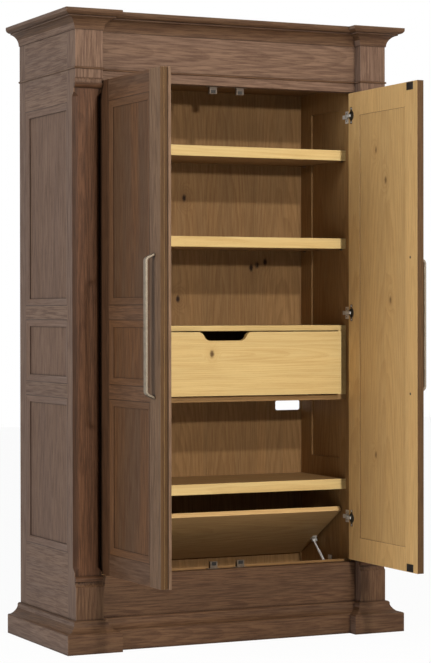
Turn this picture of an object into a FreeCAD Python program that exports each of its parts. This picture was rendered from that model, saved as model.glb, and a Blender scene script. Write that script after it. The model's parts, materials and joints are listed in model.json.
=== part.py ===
"""Bonnetiere cabinet: a tall two-door cupboard with shelves, a drawer and a hidden chest.

Frame: X to the right, Y to the back, Z up, in millimetres. The origin is on the floor,
under the middle of the front, level with the faces of the corner posts.
Rest pose: both doors stand open, the drawer is a little out and the chest's lid is up.
"""

import FreeCAD, Part
import math
import os

import Sketcher
from FreeCAD import Placement, Rotation, Vector

doc = FreeCAD.newDocument("bonnetiere_cabinet")
sheet = doc.addObject("Spreadsheet::Sheet", "sizes")

# ---------------------------------------------------------------------------
# Driving dimensions, in millimetres and degrees
# ---------------------------------------------------------------------------

SIZES = {
    # the case
    "total_height": 2200,
    "body_width": 1216,
    "body_depth": 548,
    "post_width": 102,
    "post_depth": 64,
    "block_thickness": 14,
    "centre_recess": 42,
    "centre_board": 22,
    "top_board": 18,
    # outside mouldings and rails
    "base_height": 109,
    "base_reach": 50,
    "fascia_height": 66,
    "rail_top": 252,
    "rail_depth": 42,
    "cornice_height": 66,
    "cornice_reach": 53,
    "frieze_height": 131,
    "header_height": 35,
    "header_depth": 50,
    "bead_height": 7,
    "bead_reach": 5,
    # corner posts and their blocks
    "plinth_block_height": 242,
    "block_slope_rise": 20,
    "block_slope_round": 26,
    "capital_face": 33,
    "capital_cove": 9,
    "capital_band": 8,
    "capital_step": 6,
    "chamfer_leg": 17,
    "chamfer_margin": 30,
    # framed panels, at the same levels on the sides and on the doors
    "low_panel_foot": 336,
    "low_panel_height": 534,
    "middle_panel_height": 223,
    "cross_rail_height": 48,
    "top_rail_height": 78,
    "moulding_width": 25,
    "moulding_depth": 10,
    "moulding_slope": 18,
    "moulding_fall": 6,
    "side_thickness": 22,
    "side_panel": 8,
    "rear_stile": 60,
    # lining of the case
    "lining_thickness": 18,
    "lining_stile": 85,
    "lining_panel": 8,
    "lining_panel_recess": 6,
    "lining_low_rail_head": 625,
    "lining_middle_rail_foot": 840,
    "lining_middle_rail_head": 1120,
    "lining_top_rail": 80,
    "back_inset": 82,
    "back_board": 12,
    "back_rail_height": 70,
    "back_rail_depth": 50,
    "ceiling_rise": 24,
    "ceiling_board": 18,
    "cable_slot_length": 108,
    "cable_slot_height": 37,
    "cable_slot_round": 8,
    "cable_slot_foot": 792,
    "cable_slot_inset": 3,
    # shelves
    "shelf_front": 112,
    "shelf_thickness": 38,
    "shelf_end_gap": 0.5,
    "shelf_back_gap": 3,
    "shelf_round": 2,
    "upper_shelf_share": 0.7565,
    "middle_shelf_share": 0.3753,
    "drawer_shelf_top": 1118,
    "drawer_shelf_board": 20,
    "drawer_base_top": 864,
    "drawer_base_board": 20,
    "bottom_shelf_top": 552,
    "pin_thickness": 5,
    "pin_depth": 10,
    "pin_tongue": 9,
    "pin_tongue_width": 14,
    "pin_tongue_sheet": 3,
    "pin_inset": 30,
    "pin_clearance": 0.05,
    # doors
    "door_gap": 1.5,
    "meeting_gap": 3,
    "door_foot_gap": 11,
    "door_head_gap": 5,
    "door_frame": 14,
    "door_lining": 11,
    "door_stile": 85,
    "door_panel": 6,
    "door_panel_step": 2,
    "door_open": 89,
    "strip_width": 20,
    "strip_thickness": 9,
    "strip_overlap": 8,
    "strip_gap": 0.3,
    # door handles
    "handle_spacing": 470,
    "handle_middle": 1120,
    "handle_inset": 50,
    "handle_reach": 30,
    "handle_drop": 14,
    "handle_width": 20,
    "handle_thickness": 8,
    "handle_bend": 14,
    # concealed hinges
    "hinge_low": 415,
    "hinge_middle": 1163,
    "hinge_high_drop": 87,
    "cup_radius": 17.5,
    "cup_inset": 22,
    "cup_wall": 1,
    "cup_floor": 1.2,
    "cup_clearance": 0.1,
    "cup_flange": 1,
    "cup_flange_width": 14,
    "cup_flange_length": 60,
    "plate_thickness": 4,
    "plate_height": 44,
    "plate_front": 72,
    "arm_front": 86,
    "arm_back": 107,
    "arm_height": 14,
    "arm_reach": 15.5,
    "arm_cheek": 2,
    "pin_stand_off": 11,
    "pin_ahead": 78,
    "link_eye": 4,
    "link_pin": 2,
    "link_pin_clearance": 0.05,
    "link_side_gap": 0.5,
    "link_thickness": 3.2,
    "link_knee_off": 30.0,
    "link_knee_ahead": 47,
    "link_tip_off": 29.9,
    "link_tip_ahead": 24,
    # door catches
    "catch_offset": 53,
    "catch_front": 70.3,
    "catch_depth": 13.7,
    "catch_width": 28,
    "catch_height": 26,
    "catch_ear_span": 48,
    "catch_ear": 2,
    "magnet_front": 69.8,
    "magnet_width": 18,
    "magnet_height": 12,
    "magnet_depth": 9,
    "magnet_rise": 12,
    "magnet_gap": 0.3,
    "strike_width": 45,
    "strike_height": 27,
    "strike_thickness": 1.2,
    "strike_margin": 2,
    # drawer
    "drawer_half_width": 470,
    "drawer_gap": 3,
    "drawer_face": 20,
    "drawer_out": 30,
    "drawer_board": 14,
    "drawer_back_gap": 34,
    "drawer_side_rise": 9,
    "drawer_side_height": 170,
    "drawer_bottom": 8,
    "drawer_bottom_rise": 12,
    "drawer_back_drop": 20,
    "grip_top_width": 214,
    "grip_bottom_width": 120,
    "grip_depth": 31,
    # drawer runners
    "runner_set_back": 24,
    "runner_height": 45,
    "runner_step": 9,
    "runner_member": 3.3,
    "runner_level": 960,
    "runner_gap": 0.5,
    # chest under the bottom shelf
    "chest_floor_foot": 118,
    "chest_floor_board": 18,
    "chest_liner": 6,
    "chest_rim": 260,
    "lid_thickness": 18,
    "lid_front_gap": 2,
    "lid_end_gap": 10,
    "lid_back_gap": 5,
    "lid_raise": 30.5,
    "lid_round": 1.5,
    "lid_hinge_spacing": 640,
    "lid_hinge_width": 60,
    "lid_hinge_middle": 20,
    "lid_hinge_leaf": 1.8,
    "lid_hinge_length": 30,
    "lid_knuckle": 3.5,
    "lid_knuckle_gap": 0.4,
    "lid_pin": 1.5,
    "lid_pin_clearance": 0.3,
    "rest_middle": 108,
    "rest_length": 16,
    "rest_sheet": 3,
    "rest_reach": 20,
    "rest_leg": 22,
    "rest_gap": 0.2,
    # gas strut of the lid
    "strut_inset": 22,
    "strut_foot_back": 233,
    "strut_foot_height": 228,
    "strut_eye_front": 323,
    "strut_eye_drop": 33,
    "strut_tube_radius": 5,
    "strut_tube_start": 8,
    "strut_tube_end": 70,
    "strut_bore_start": 18,
    "strut_clearance": 0.3,
    "strut_rod_radius": 3.5,
    "strut_rod_start": 52,
    "strut_rod_neck": 2,
    "strut_eye_radius": 5.5,
    "strut_eye_width": 11.4,
    "strut_stud_radius": 3,
    "strut_plate": 3,
    "strut_plate_length": 26,
    "strut_plate_height": 24,
    "strut_plate_rise": 18,
    "strut_lug": 4,
    "strut_lug_gap": 2.3,
}


class Dimension:
    """A size that carries its number and the sheet expression that it comes from."""

    def __init__(self, text, value):
        self.text = text
        self.value = value

    @staticmethod
    def of(source):
        """Return source as a Dimension, also when it is a plain number."""
        if isinstance(source, Dimension):
            return source
        return Dimension(f"{source}", float(source))

    def __add__(self, other):
        other = Dimension.of(other)
        return Dimension(f"({self.text} + {other.text})", self.value + other.value)

    def __sub__(self, other):
        other = Dimension.of(other)
        return Dimension(f"({self.text} - {other.text})", self.value - other.value)

    def __mul__(self, other):
        other = Dimension.of(other)
        return Dimension(f"({self.text} * {other.text})", self.value * other.value)

    def __truediv__(self, other):
        other = Dimension.of(other)
        return Dimension(f"({self.text} / {other.text})", self.value / other.value)

    def __rmul__(self, other):
        return Dimension.of(other) * self

    def __neg__(self):
        return Dimension(f"(0 - {self.text})", -self.value)


class Sheet:
    """The driving dimensions by name, each one a Dimension bound to its cell."""

    def __init__(self, values):
        for row, (name, value) in enumerate(values.items(), start=1):
            sheet.set(f"A{row}", name)
            sheet.set(f"B{row}", str(value))
            sheet.setAlias(f"B{row}", name)
        doc.recompute()
        for name in values:
            setattr(self, name, Dimension(f"sizes.{name}", float(sheet.get(name))))


def sine(angle):
    """The sine of an angle in degrees."""
    return Dimension(f"sin({angle.text})", math.sin(math.radians(angle.value)))


def cosine(angle):
    """The cosine of an angle in degrees."""
    return Dimension(f"cos({angle.text})", math.cos(math.radians(angle.value)))


def distance(along, up):
    """The length of a sloping line."""
    return Dimension(f"sqrt({along.text} ^ 2 + {up.text} ^ 2)", math.hypot(along.value, up.value))


def slope(along, up):
    """The angle of a sloping line, in degrees."""
    return Dimension(f"atan2({up.text}; {along.text})", math.degrees(math.atan2(up.value, along.value)))


size = Sheet(SIZES)
ZERO = Dimension("0", 0.0)
LEFT, RIGHT = -1, 1
SIDES = {"left": LEFT, "right": RIGHT}
ALONG_X = Rotation(Vector(0, 1, 0), 90)
ALONG_Y = Rotation(Vector(1, 0, 0), -90)

# ---------------------------------------------------------------------------
# Places that several pieces share
# ---------------------------------------------------------------------------

half_width = size.body_width / 2
half_opening = half_width - size.post_width
post_back = size.block_thickness + size.post_depth
stile_front = size.body_depth - size.rear_stile
frieze_foot = size.total_height - size.cornice_height - size.frieze_height
opening_top = frieze_foot - size.header_height
case_top = size.total_height - size.top_board
ceiling_foot = opening_top + size.ceiling_rise
low_panel_head = size.low_panel_foot + size.low_panel_height
middle_panel_foot = low_panel_head + size.cross_rail_height
middle_panel_head = middle_panel_foot + size.middle_panel_height
tall_panel_foot = middle_panel_head + size.cross_rail_height
tall_panel_head = opening_top - size.top_rail_height
shelf_room = opening_top - size.drawer_shelf_top
upper_shelf_top = size.drawer_shelf_top + shelf_room * size.upper_shelf_share
middle_shelf_top = size.drawer_shelf_top + shelf_room * size.middle_shelf_share
capital_foot = frieze_foot - size.capital_face - size.capital_cove - size.capital_band
rail_back = size.centre_recess + size.rail_depth
header_back = size.centre_recess + size.header_depth
frieze_back = size.centre_recess + size.centre_board
lining_outside = half_opening + size.lining_thickness
shelf_half = half_opening - size.shelf_end_gap
back_front = size.body_depth - size.back_inset
shelf_back = back_front - size.shelf_back_gap
chest_front = rail_back + size.chest_liner

hinge_levels = {"low": size.hinge_low, "middle": size.hinge_middle, "high": opening_top - size.hinge_high_drop}
hinge_axis = half_opening - size.door_gap
leaf_width = half_opening - size.door_gap - size.meeting_gap / 2
leaf_thickness = size.door_frame + size.door_lining
door_foot = size.rail_top + size.door_foot_gap
door_head = opening_top - size.door_head_gap
pin_x = half_opening - size.pin_stand_off
magnet_levels = {"lower": (size.rail_top, 1), "upper": (opening_top, -1)}

spacer_inside = size.drawer_half_width + size.drawer_gap
drawer_side = spacer_inside - size.runner_member * 3 - size.runner_gap * 2
drawer_inside = drawer_side - size.drawer_board
drawer_box_depth = back_front - size.shelf_front - size.drawer_face - size.drawer_back_gap
runner_length = drawer_box_depth + size.drawer_face - size.runner_set_back
drawer_foot = size.drawer_base_top + size.drawer_gap
drawer_head = size.drawer_shelf_top - size.drawer_shelf_board - size.drawer_gap

lid_half = half_opening - size.lid_end_gap
lid_axis_y = back_front - size.lid_knuckle - size.lid_knuckle_gap
lid_axis_z = size.chest_rim + size.lid_knuckle
lid_front = chest_front + size.lid_front_gap - lid_axis_y
lid_back = back_front - size.lid_back_gap - size.lid_knuckle - lid_axis_y
lid_foot = -size.lid_knuckle - size.lid_thickness
knuckle_room = size.lid_knuckle + size.lid_knuckle_gap

strut_x = half_opening - size.strut_inset
strut_eye_run = lid_axis_y - size.strut_eye_front
strut_eye_y = lid_axis_y - strut_eye_run * cosine(size.lid_raise) - size.strut_eye_drop * sine(size.lid_raise)
strut_eye_z = lid_axis_z + strut_eye_run * sine(size.lid_raise) - size.strut_eye_drop * cosine(size.lid_raise)
strut_along = strut_eye_y - size.strut_foot_back
strut_up = strut_eye_z - size.strut_foot_height
strut_length = distance(strut_along, strut_up)
strut_slope = slope(strut_along, strut_up)


# ---------------------------------------------------------------------------
# Tools for building
# ---------------------------------------------------------------------------


def bind(target, path, source):
    """Tie one property of target to a dimension's expression."""
    target.setExpression(path, Dimension.of(source).text)


def place(target, x=ZERO, y=ZERO, z=ZERO):
    """Tie the position of target to dimensions."""
    for axis, source in zip("xyz", (x, y, z)):
        bind(target, f".Placement.Base.{axis}", source)


def ordered(first, second):
    """Return two dimensions with the lower one first."""
    first, second = Dimension.of(first), Dimension.of(second)
    return (first, second) if first.value <= second.value else (second, first)


def board(label, across, back, up):
    """A plain board between two planes on each axis."""
    box = doc.addObject("Part::Box", label)
    starts = []
    for path, span in zip(("Length", "Width", "Height"), (across, back, up)):
        low, high = ordered(*span)
        bind(box, path, high - low)
        starts.append(low)
    place(box, *starts)
    return box


def bar(label, radius, length, turn, x, y, z):
    """A round bar that runs from a point along the axis that turn gives it."""
    result = doc.addObject("Part::Cylinder", label)
    bind(result, "Radius", radius)
    bind(result, "Height", length)
    result.Placement = Placement(Vector(), turn)
    place(result, x, y, z)
    return result


def joined(label, members):
    """One solid from several that overlap or meet."""
    result = doc.addObject("Part::MultiFuse", label)
    result.Shapes = members
    return result


def cut(label, base, tools):
    """The base less every tool."""
    result = doc.addObject("Part::Cut", label)
    result.Base = base
    result.Tool = tools[0] if len(tools) == 1 else joined(f"{label}_tools", tools)
    return result


def group(label, members):
    """The separate solids of one sub-part."""
    result = doc.addObject("Part::Compound", label)
    result.Links = members
    return result


def turn_about(target, axis, angle):
    """Turn target about an axis through its own origin by a bound angle."""
    target.Placement = Placement(target.Placement.Base, Rotation(axis, angle.value))
    bind(target, ".Placement.Rotation.Angle", angle)


def arc_centre(start, end, radius):
    """Centre of the arc from start to end, anticlockwise for a positive radius."""
    chord = end - start
    rise = math.sqrt(max(radius**2 - (chord.Length / 2) ** 2, 0.0))
    normal = Vector(-chord.y, chord.x, 0).normalize()
    return (start + end) * 0.5 + normal * math.copysign(rise, radius)


def edge_between(start, end, radius):
    """A straight edge, or an arc where a radius is given."""
    if radius is None:
        return Part.LineSegment(start, end)
    circle = Part.Circle(arc_centre(start, end, radius.value), Vector(0, 0, 1), abs(radius.value))
    first, last = (start, end) if radius.value > 0 else (end, start)
    return Part.ArcOfCircle(circle, circle.parameter(first), circle.parameter(last))


def tie_corner(sketch, geometry, point, corner):
    """Hold one end of an edge at its two dimensions from the sketch's origin."""
    for kind, axis, source in zip(("DistanceX", "DistanceY"), (-2, -1), corner):
        if source.value == 0:
            sketch.addConstraint(Sketcher.Constraint("PointOnObject", geometry, point, axis))
            continue
        index = sketch.addConstraint(Sketcher.Constraint(kind, -1, 1, geometry, point, source.value))
        bind(sketch, f"Constraints[{index}]", source)


def draw_loop(sketch, loop, closed):
    """Add one run of edges to a sketch, every corner and radius tied to a dimension."""
    corners = [(Dimension.of(corner[0]), Dimension.of(corner[1])) for corner in loop]
    radii = [corner[2] if len(corner) > 2 else None for corner in loop]
    points = [Vector(across.value, up.value, 0) for across, up in corners]
    first = sketch.GeometryCount
    edges = len(points) if closed else len(points) - 1
    for i in range(edges):
        sketch.addGeometry(edge_between(points[i], points[(i + 1) % len(points)], radii[i]))
    # a clockwise arc is stored the other way round, so its ends change places
    ends = [(2, 1) if radius is not None and radius.value < 0 else (1, 2) for radius in radii]
    for i in range(edges):
        tie_corner(sketch, first + i, ends[i][0], corners[i])
        if radii[i] is not None:
            radius = radii[i] if radii[i].value > 0 else -radii[i]
            index = sketch.addConstraint(Sketcher.Constraint("Radius", first + i, radius.value))
            bind(sketch, f"Constraints[{index}]", radius)
        if closed or i + 1 < edges:
            after = (i + 1) % edges
            sketch.addConstraint(
                Sketcher.Constraint("Coincident", first + i, ends[i][1], first + after, ends[after][0])
            )
        else:
            tie_corner(sketch, first + i, ends[i][1], corners[-1])


def sketch_on(body, name, role, loops, offset=None, closed=True):
    """A sketch on one of a body's own origin planes.

    A loop is a list of corners (across, up) or (across, up, radius). The radius is that of
    the arc that leaves the corner, and it is negative where the arc runs clockwise.
    """
    sketch = body.newObject("Sketcher::SketchObject", name)
    plane = next(item for item in body.Origin.OriginFeatures if item.Role == role)
    sketch.AttachmentSupport = [(plane, "")]
    sketch.MapMode = "FlatFace"
    if offset is not None:
        bind(sketch, ".AttachmentOffset.Base.z", offset)
    for loop in loops:
        draw_loop(sketch, loop, closed)
    return sketch


def rectangle(left, right, foot, head):
    """Corners of a rectangle."""
    return [(left, foot), (right, foot), (right, head), (left, head)]


def rounded_rectangle(left, right, foot, head, radius):
    """Corners of a rectangle with rounded corners."""
    return [
        (left + radius, foot),
        (right - radius, foot, radius),
        (right, foot + radius),
        (right, head - radius, radius),
        (right - radius, head),
        (left + radius, head, radius),
        (left, head - radius),
        (left, foot + radius, radius),
    ]


def pad(body, sketch, length, reverse=False):
    """Thicken a sketch into its body."""
    feature = body.newObject("PartDesign::Pad", f"{sketch.Name}_pad")
    feature.Profile = sketch
    bind(feature, "Length", length)
    feature.Reversed = reverse
    return feature


def sweep(body, section, path, edge_count, transition):
    """Run a section along every edge of a path."""
    feature = body.newObject("PartDesign::AdditivePipe", f"{section.Name}_run")
    feature.Profile = section
    feature.Spine = (path, [f"Edge{number + 1}" for number in range(edge_count)])
    feature.Transition = transition
    return feature


def round_front(body, radius, front):
    """Round the two long edges at the front of a board."""
    doc.recompute()
    base = body.Tip
    names = []
    for number, edge in enumerate(base.Shape.Edges, start=1):
        start, end = (vertex.Point for vertex in edge.Vertexes)
        if same(start.y, front.value) and same(end.y, front.value) and not same(start.x, end.x):
            names.append(f"Edge{number}")
    feature = body.newObject("PartDesign::Fillet", f"{body.Name}_round")
    feature.Base = (base, names)
    bind(feature, "Radius", radius)


def same(first, second):
    """True for two equal coordinates."""
    return abs(first - second) < 1e-4


def new_body(label):
    """An empty body."""
    return doc.addObject("PartDesign::Body", label)


# ---------------------------------------------------------------------------
# Outside of the case
# ---------------------------------------------------------------------------


def front_path():
    """Plan of the case's outline from the rear left, round the front, to the rear right."""
    return [
        (-half_width, size.body_depth),
        (-half_width, ZERO),
        (-half_opening, ZERO),
        (-half_opening, size.centre_recess),
        (half_opening, size.centre_recess),
        (half_opening, ZERO),
        (half_width, ZERO),
        (half_width, size.body_depth),
    ]


def wrapped_moulding(label, profile):
    """A moulding round the sides and the stepped front, mitred at the outer corners.

    The profile is a loop of (reach, height) corners, anticlockwise seen from the front.
    """
    body = new_body(f"{label}_run")
    plan = front_path()
    path = sketch_on(body, f"{label}_path", "XY_Plane", [plan], closed=False)
    # the section looks out to the left, so arcs run the other way round
    loop = [(-half_width - corner[0], corner[1], *(-radius for radius in corner[2:])) for corner in profile]
    section = sketch_on(body, f"{label}_section", "XZ_Plane", [loop], offset=-size.body_depth)
    sweep(body, section, path, len(plan) - 1, "Right corner")
    reach = size.body_depth * 2
    margin = size.body_depth / 4
    mitres = []
    lengths = []
    for name, side in SIDES.items():
        mitre = board(f"{label}_{name}_mitre", (ZERO, reach), (ZERO, reach), (ZERO, size.total_height + margin))
        mitre.Placement = Placement(Vector(), Rotation(Vector(0, 0, 1), 45))
        place(mitre, side * (half_width + margin), -margin, ZERO)
        mitres.append(mitre)
        length = doc.addObject("Part::MultiCommon", f"{label}_{name}_length")
        length.Shapes = [body, mitre]
        lengths.append(length)
    lengths.insert(1, cut(f"{label}_front_length", body, mitres))
    return group(label, lengths)


def cornice():
    """Cove, fillet and bold round under a flat top edge."""
    foot = size.total_height - size.cornice_height
    reach, rise, top = size.cornice_reach, size.cornice_height, size.total_height
    return wrapped_moulding(
        "cornice",
        [
            (ZERO, foot),
            (reach * 0.06, foot),
            (reach * 0.06, foot + rise * 0.06, -rise * 0.62),
            (reach * 0.58, foot + rise * 0.6),
            (reach * 0.66, foot + rise * 0.6),
            (reach * 0.66, foot + rise * 0.68),
            (reach * 0.74, foot + rise * 0.68, rise * 0.24),
            (reach, foot + rise * 0.86),
            (reach, top),
            (ZERO, top),
        ],
    )


def base_moulding():
    """Flat fascia with an arris, a hollow and a bead up to the case."""
    reach, fascia, top = size.base_reach, size.fascia_height, size.base_height
    rise = top - fascia
    return wrapped_moulding(
        "base_moulding",
        [
            (ZERO, ZERO),
            (reach, ZERO),
            (reach, fascia),
            (reach * 0.94, fascia + rise * 0.08),
            (reach * 0.8, fascia + rise * 0.08, -rise),
            (reach * 0.24, fascia + rise * 0.7),
            (reach * 0.24, fascia + rise * 0.78, rise * 0.2),
            (reach * 0.12, top),
            (ZERO, top),
        ],
    )


def astragal():
    """Small half-round bead between the capital and the frieze."""
    low = frieze_foot - size.bead_height / 2
    high = frieze_foot + size.bead_height / 2
    face = size.bead_reach / 3
    profile = [(ZERO, low), (face, low, size.bead_height * 0.52), (face, high), (ZERO, high)]
    return wrapped_moulding("astragal", profile)


def corner_post(name, side):
    """A post with a stopped chamfer along both front edges of its shaft."""
    left, right = ordered(side * half_opening, side * half_width)
    blank = board(f"{name}_blank", (left, right), (size.block_thickness, post_back), (ZERO, case_top))
    low = size.plinth_block_height + size.chamfer_margin
    high = capital_foot - size.chamfer_margin
    leg = size.chamfer_leg
    depth = leg * math.sqrt(0.5)
    cutters = []
    for kind, edge, turn in (("left", left, 135), ("right", right, 225)):
        cutter = doc.addObject("Part::Wedge", f"{name}_{kind}_chamfer")
        for path, source in {
            "Xmin": -leg,
            "Xmax": leg,
            "X2min": -leg,
            "X2max": leg,
            "Ymin": -depth,
            "Ymax": depth,
            "Zmin": low + leg,
            "Zmax": high - leg,
            "Z2min": low - leg,
            "Z2max": high + leg,
        }.items():
            bind(cutter, path, source)
        cutter.Placement = Placement(Vector(), Rotation(Vector(0, 0, 1), turn))
        place(cutter, edge, size.block_thickness, ZERO)
        cutters.append(cutter)
    return cut(name, blank, cutters)


def post_blocks():
    """Plinth, capital and frieze blocks on the faces of both posts."""
    back = size.block_thickness
    step = size.capital_step
    slope_foot = size.plinth_block_height - size.block_slope_rise
    band_top = capital_foot + size.capital_band
    profiles = {
        "plinth": [
            (ZERO, ZERO),
            (back, ZERO),
            (back, size.plinth_block_height),
            (back * 0.8, size.plinth_block_height, -size.block_slope_round),
            (ZERO, slope_foot),
        ],
        "capital": [
            (step, capital_foot),
            (back, capital_foot),
            (back, frieze_foot),
            (ZERO, frieze_foot),
            (ZERO, band_top + size.capital_cove, -size.capital_cove * 1.2),
            (step, band_top),
        ],
        "frieze": rectangle(ZERO, back, frieze_foot, case_top),
    }
    blocks = []
    for name, side in SIDES.items():
        for kind, profile in profiles.items():
            body = new_body(f"{name}_{kind}_block")
            sketch = sketch_on(body, f"{name}_{kind}_outline", "YZ_Plane", [profile])
            pad(body, sketch, size.post_width)
            place(body, ordered(side * half_opening, side * half_width)[0])
            blocks.append(body)
    return group("post_blocks", blocks)


def front_board(label, back, up):
    """A board across the front, between the posts."""
    return board(label, (-half_opening, half_opening), back, up)


def rail_spans(foot, head):
    """Heights of the four rails of a framed side or door."""
    return [
        (foot, size.low_panel_foot),
        (low_panel_head, middle_panel_foot),
        (middle_panel_head, tall_panel_foot),
        (tall_panel_head, head),
    ]


def panel_spans():
    """Heights of the three panels of a framed side or door."""
    return [
        (size.low_panel_foot, low_panel_head),
        (middle_panel_foot, middle_panel_head),
        (tall_panel_foot, tall_panel_head),
    ]


def panel_moulding(label, width, height, depth):
    """A frame moulding whose face falls from its outer edge down to the panel."""
    body = new_body(label)
    inset = size.moulding_width
    brow = inset - size.moulding_slope
    outer = rectangle(ZERO, width, ZERO, height)
    inner = rectangle(inset, width - inset, inset, height - inset)
    pad(body, sketch_on(body, f"{label}_ring", "XY_Plane", [outer, inner]), depth)
    mouth = rectangle(brow, width - brow, brow, height - brow)
    upper = sketch_on(body, f"{label}_mouth", "XY_Plane", [mouth], offset=depth)
    lower = sketch_on(body, f"{label}_throat", "XY_Plane", [inner], offset=depth - size.moulding_fall)
    hollow = body.newObject("PartDesign::SubtractiveLoft", f"{label}_slope")
    hollow.Profile = upper
    hollow.Sections = [lower]
    hollow.Ruled = True
    return body


def side_frame(name, side):
    """Rear stile, four rails and frieze board of one side."""
    across = (side * (half_width - size.side_thickness), side * half_width)
    inner_span = (post_back, stile_front)
    members = [board(f"{name}_rear_stile", across, (stile_front, size.body_depth), (ZERO, case_top))]
    for number, rail in enumerate(rail_spans(ZERO, frieze_foot), start=1):
        members.append(board(f"{name}_side_rail_{number}", across, inner_span, rail))
    members.append(board(f"{name}_side_frieze", across, inner_span, (frieze_foot, case_top)))
    return group(f"{name}_side_frame", members)


def side_panels():
    """The three panels of each side."""
    face = half_width - size.moulding_depth
    panels = []
    for name, side in SIDES.items():
        across = (side * (face - size.side_panel), side * face)
        for number, span in enumerate(panel_spans(), start=1):
            panels.append(board(f"{name}_side_panel_{number}", across, (post_back, stile_front), span))
    return group("side_panels", panels)


def side_mouldings():
    """The mouldings round the panels of both sides."""
    face = half_width - size.moulding_depth
    rings = []
    for name, side in SIDES.items():
        for number, (foot, head) in enumerate(panel_spans(), start=1):
            label = f"{name}_side_moulding_{number}"
            ring = panel_moulding(label, stile_front - post_back, head - foot, size.moulding_depth)
            facing = Rotation(Vector(0, side, 0), Vector(0, 0, 1), Vector(side, 0, 0), "ZXY")
            ring.Placement = Placement(Vector(), facing)
            place(ring, side * face, post_back if side == RIGHT else stile_front, foot)
            rings.append(ring)
    return group("side_mouldings", rings)


def top_board():
    """The board that closes the top, stepped like the front."""
    body = new_body("top_board")
    pad(body, sketch_on(body, "top_outline", "XY_Plane", [front_path()]), size.top_board)
    place(body, ZERO, ZERO, case_top)
    return body


# ---------------------------------------------------------------------------
# Inside of the case
# ---------------------------------------------------------------------------


def pin_places():
    """Names, depths and heights of the pins on one side of the case."""
    for shelf, top in (("upper", upper_shelf_top), ("middle", middle_shelf_top)):
        height = top - size.shelf_thickness - size.pin_thickness
        yield f"{shelf}_front", size.shelf_front + size.pin_inset, height
        yield f"{shelf}_rear", shelf_back - size.pin_inset, height


def inner_side(name, side):
    """Framed lining of one side, with square holes for the shelf pins."""
    across = (side * half_opening, side * lining_outside)
    bored = (side * half_opening, side * (half_opening + size.pin_depth))
    reach = size.pin_thickness / 2 + size.pin_clearance
    front_stile = (post_back, post_back + size.lining_stile)
    rear_stile = (back_front - size.lining_stile, back_front)
    between = (front_stile[1], rear_stile[0])
    holes = {"front": [], "rear": []}
    for place_name, back, height in pin_places():
        up = (height - size.pin_clearance, height + size.pin_thickness + size.pin_clearance)
        hole = board(f"{name}_{place_name}_hole", bored, (back - reach, back + reach), up)
        holes["front" if "front" in place_name else "rear"].append(hole)
    members = []
    for kind, span in (("front", front_stile), ("rear", rear_stile)):
        blank = board(f"{name}_lining_{kind}_blank", across, span, (ZERO, ceiling_foot))
        members.append(cut(f"{name}_lining_{kind}_stile", blank, holes[kind]))
    rails = [
        (size.chest_floor_foot, size.lining_low_rail_head),
        (size.lining_middle_rail_foot, size.lining_middle_rail_head),
        (ceiling_foot - size.lining_top_rail, ceiling_foot),
    ]
    for number, rail in enumerate(rails, start=1):
        members.append(board(f"{name}_lining_rail_{number}", across, between, rail))
    face = half_opening + size.lining_panel_recess
    thick = (side * face, side * (face + size.lining_panel))
    for number, (lower, upper) in enumerate(zip(rails, rails[1:]), start=1):
        members.append(board(f"{name}_lining_panel_{number}", thick, between, (lower[1], upper[0])))
    return group(f"{name}_inner_side", members)


def back_panel():
    """Five upright boards on three rails, the last board with a slot for cables.

    The boards run behind the linings and up behind the ceiling board.
    """
    count = 5
    width = lining_outside * 2 / count
    upright = (ZERO, ceiling_foot + size.ceiling_board)
    depth = (back_front, back_front + size.back_board)
    members = []
    for number in range(count - 1):
        left = width * number - lining_outside
        members.append(board(f"back_board_{number + 1}", (left, left + width), depth, upright))
    body = new_body(f"back_board_{count}")
    outline = rectangle(lining_outside - width, lining_outside, *upright)
    pad(body, sketch_on(body, "slotted_board_outline", "XZ_Plane", [outline]), size.back_board, reverse=True)
    slot_right = half_opening - size.cable_slot_inset
    slot = rounded_rectangle(
        slot_right - size.cable_slot_length,
        slot_right,
        size.cable_slot_foot,
        size.cable_slot_foot + size.cable_slot_height,
        size.cable_slot_round,
    )
    pocket = body.newObject("PartDesign::Pocket", "cable_slot")
    pocket.Profile = sketch_on(body, "cable_slot_outline", "XZ_Plane", [slot])
    bind(pocket, "Length", size.back_board)
    place(body, ZERO, back_front, ZERO)
    members.append(body)
    across = (size.side_thickness - half_width, half_width - size.side_thickness)
    behind = (depth[1], depth[1] + size.back_rail_depth)
    feet = [size.chest_floor_foot, middle_panel_head, ceiling_foot - size.back_rail_height]
    for number, foot in enumerate(feet, start=1):
        members.append(board(f"back_rail_{number}", across, behind, (foot, foot + size.back_rail_height)))
    return group("back_panel", members)


def shelf(label, half_length, back, top, thickness):
    """A shelf whose two front edges are rounded."""
    body = new_body(label)
    outline = rectangle(-half_length, half_length, size.shelf_front, back)
    pad(body, sketch_on(body, f"{label}_outline", "XY_Plane", [outline]), thickness)
    round_front(body, size.shelf_round, size.shelf_front)
    place(body, ZERO, ZERO, top - thickness)
    return body


def shelf_pins():
    """Square pins: a shank in the lining and a flat tongue under the shelf."""
    pins = []
    half = size.pin_thickness / 2
    for name, side in SIDES.items():
        shank_span = (side * (half_opening - size.pin_tongue / 2), side * (half_opening + size.pin_depth))
        tongue_span = (side * (half_opening - size.pin_tongue), side * half_opening)
        for place_name, back, height in pin_places():
            top = height + size.pin_thickness
            shank = board(f"{name}_{place_name}_shank", shank_span, (back - half, back + half), (height, top))
            tongue = board(
                f"{name}_{place_name}_tongue",
                tongue_span,
                (back - size.pin_tongue_width / 2, back + size.pin_tongue_width / 2),
                (top - size.pin_tongue_sheet, top),
            )
            pins.append(joined(f"{name}_{place_name}_pin", [shank, tongue]))
    return group("shelf_pins", pins)


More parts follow.
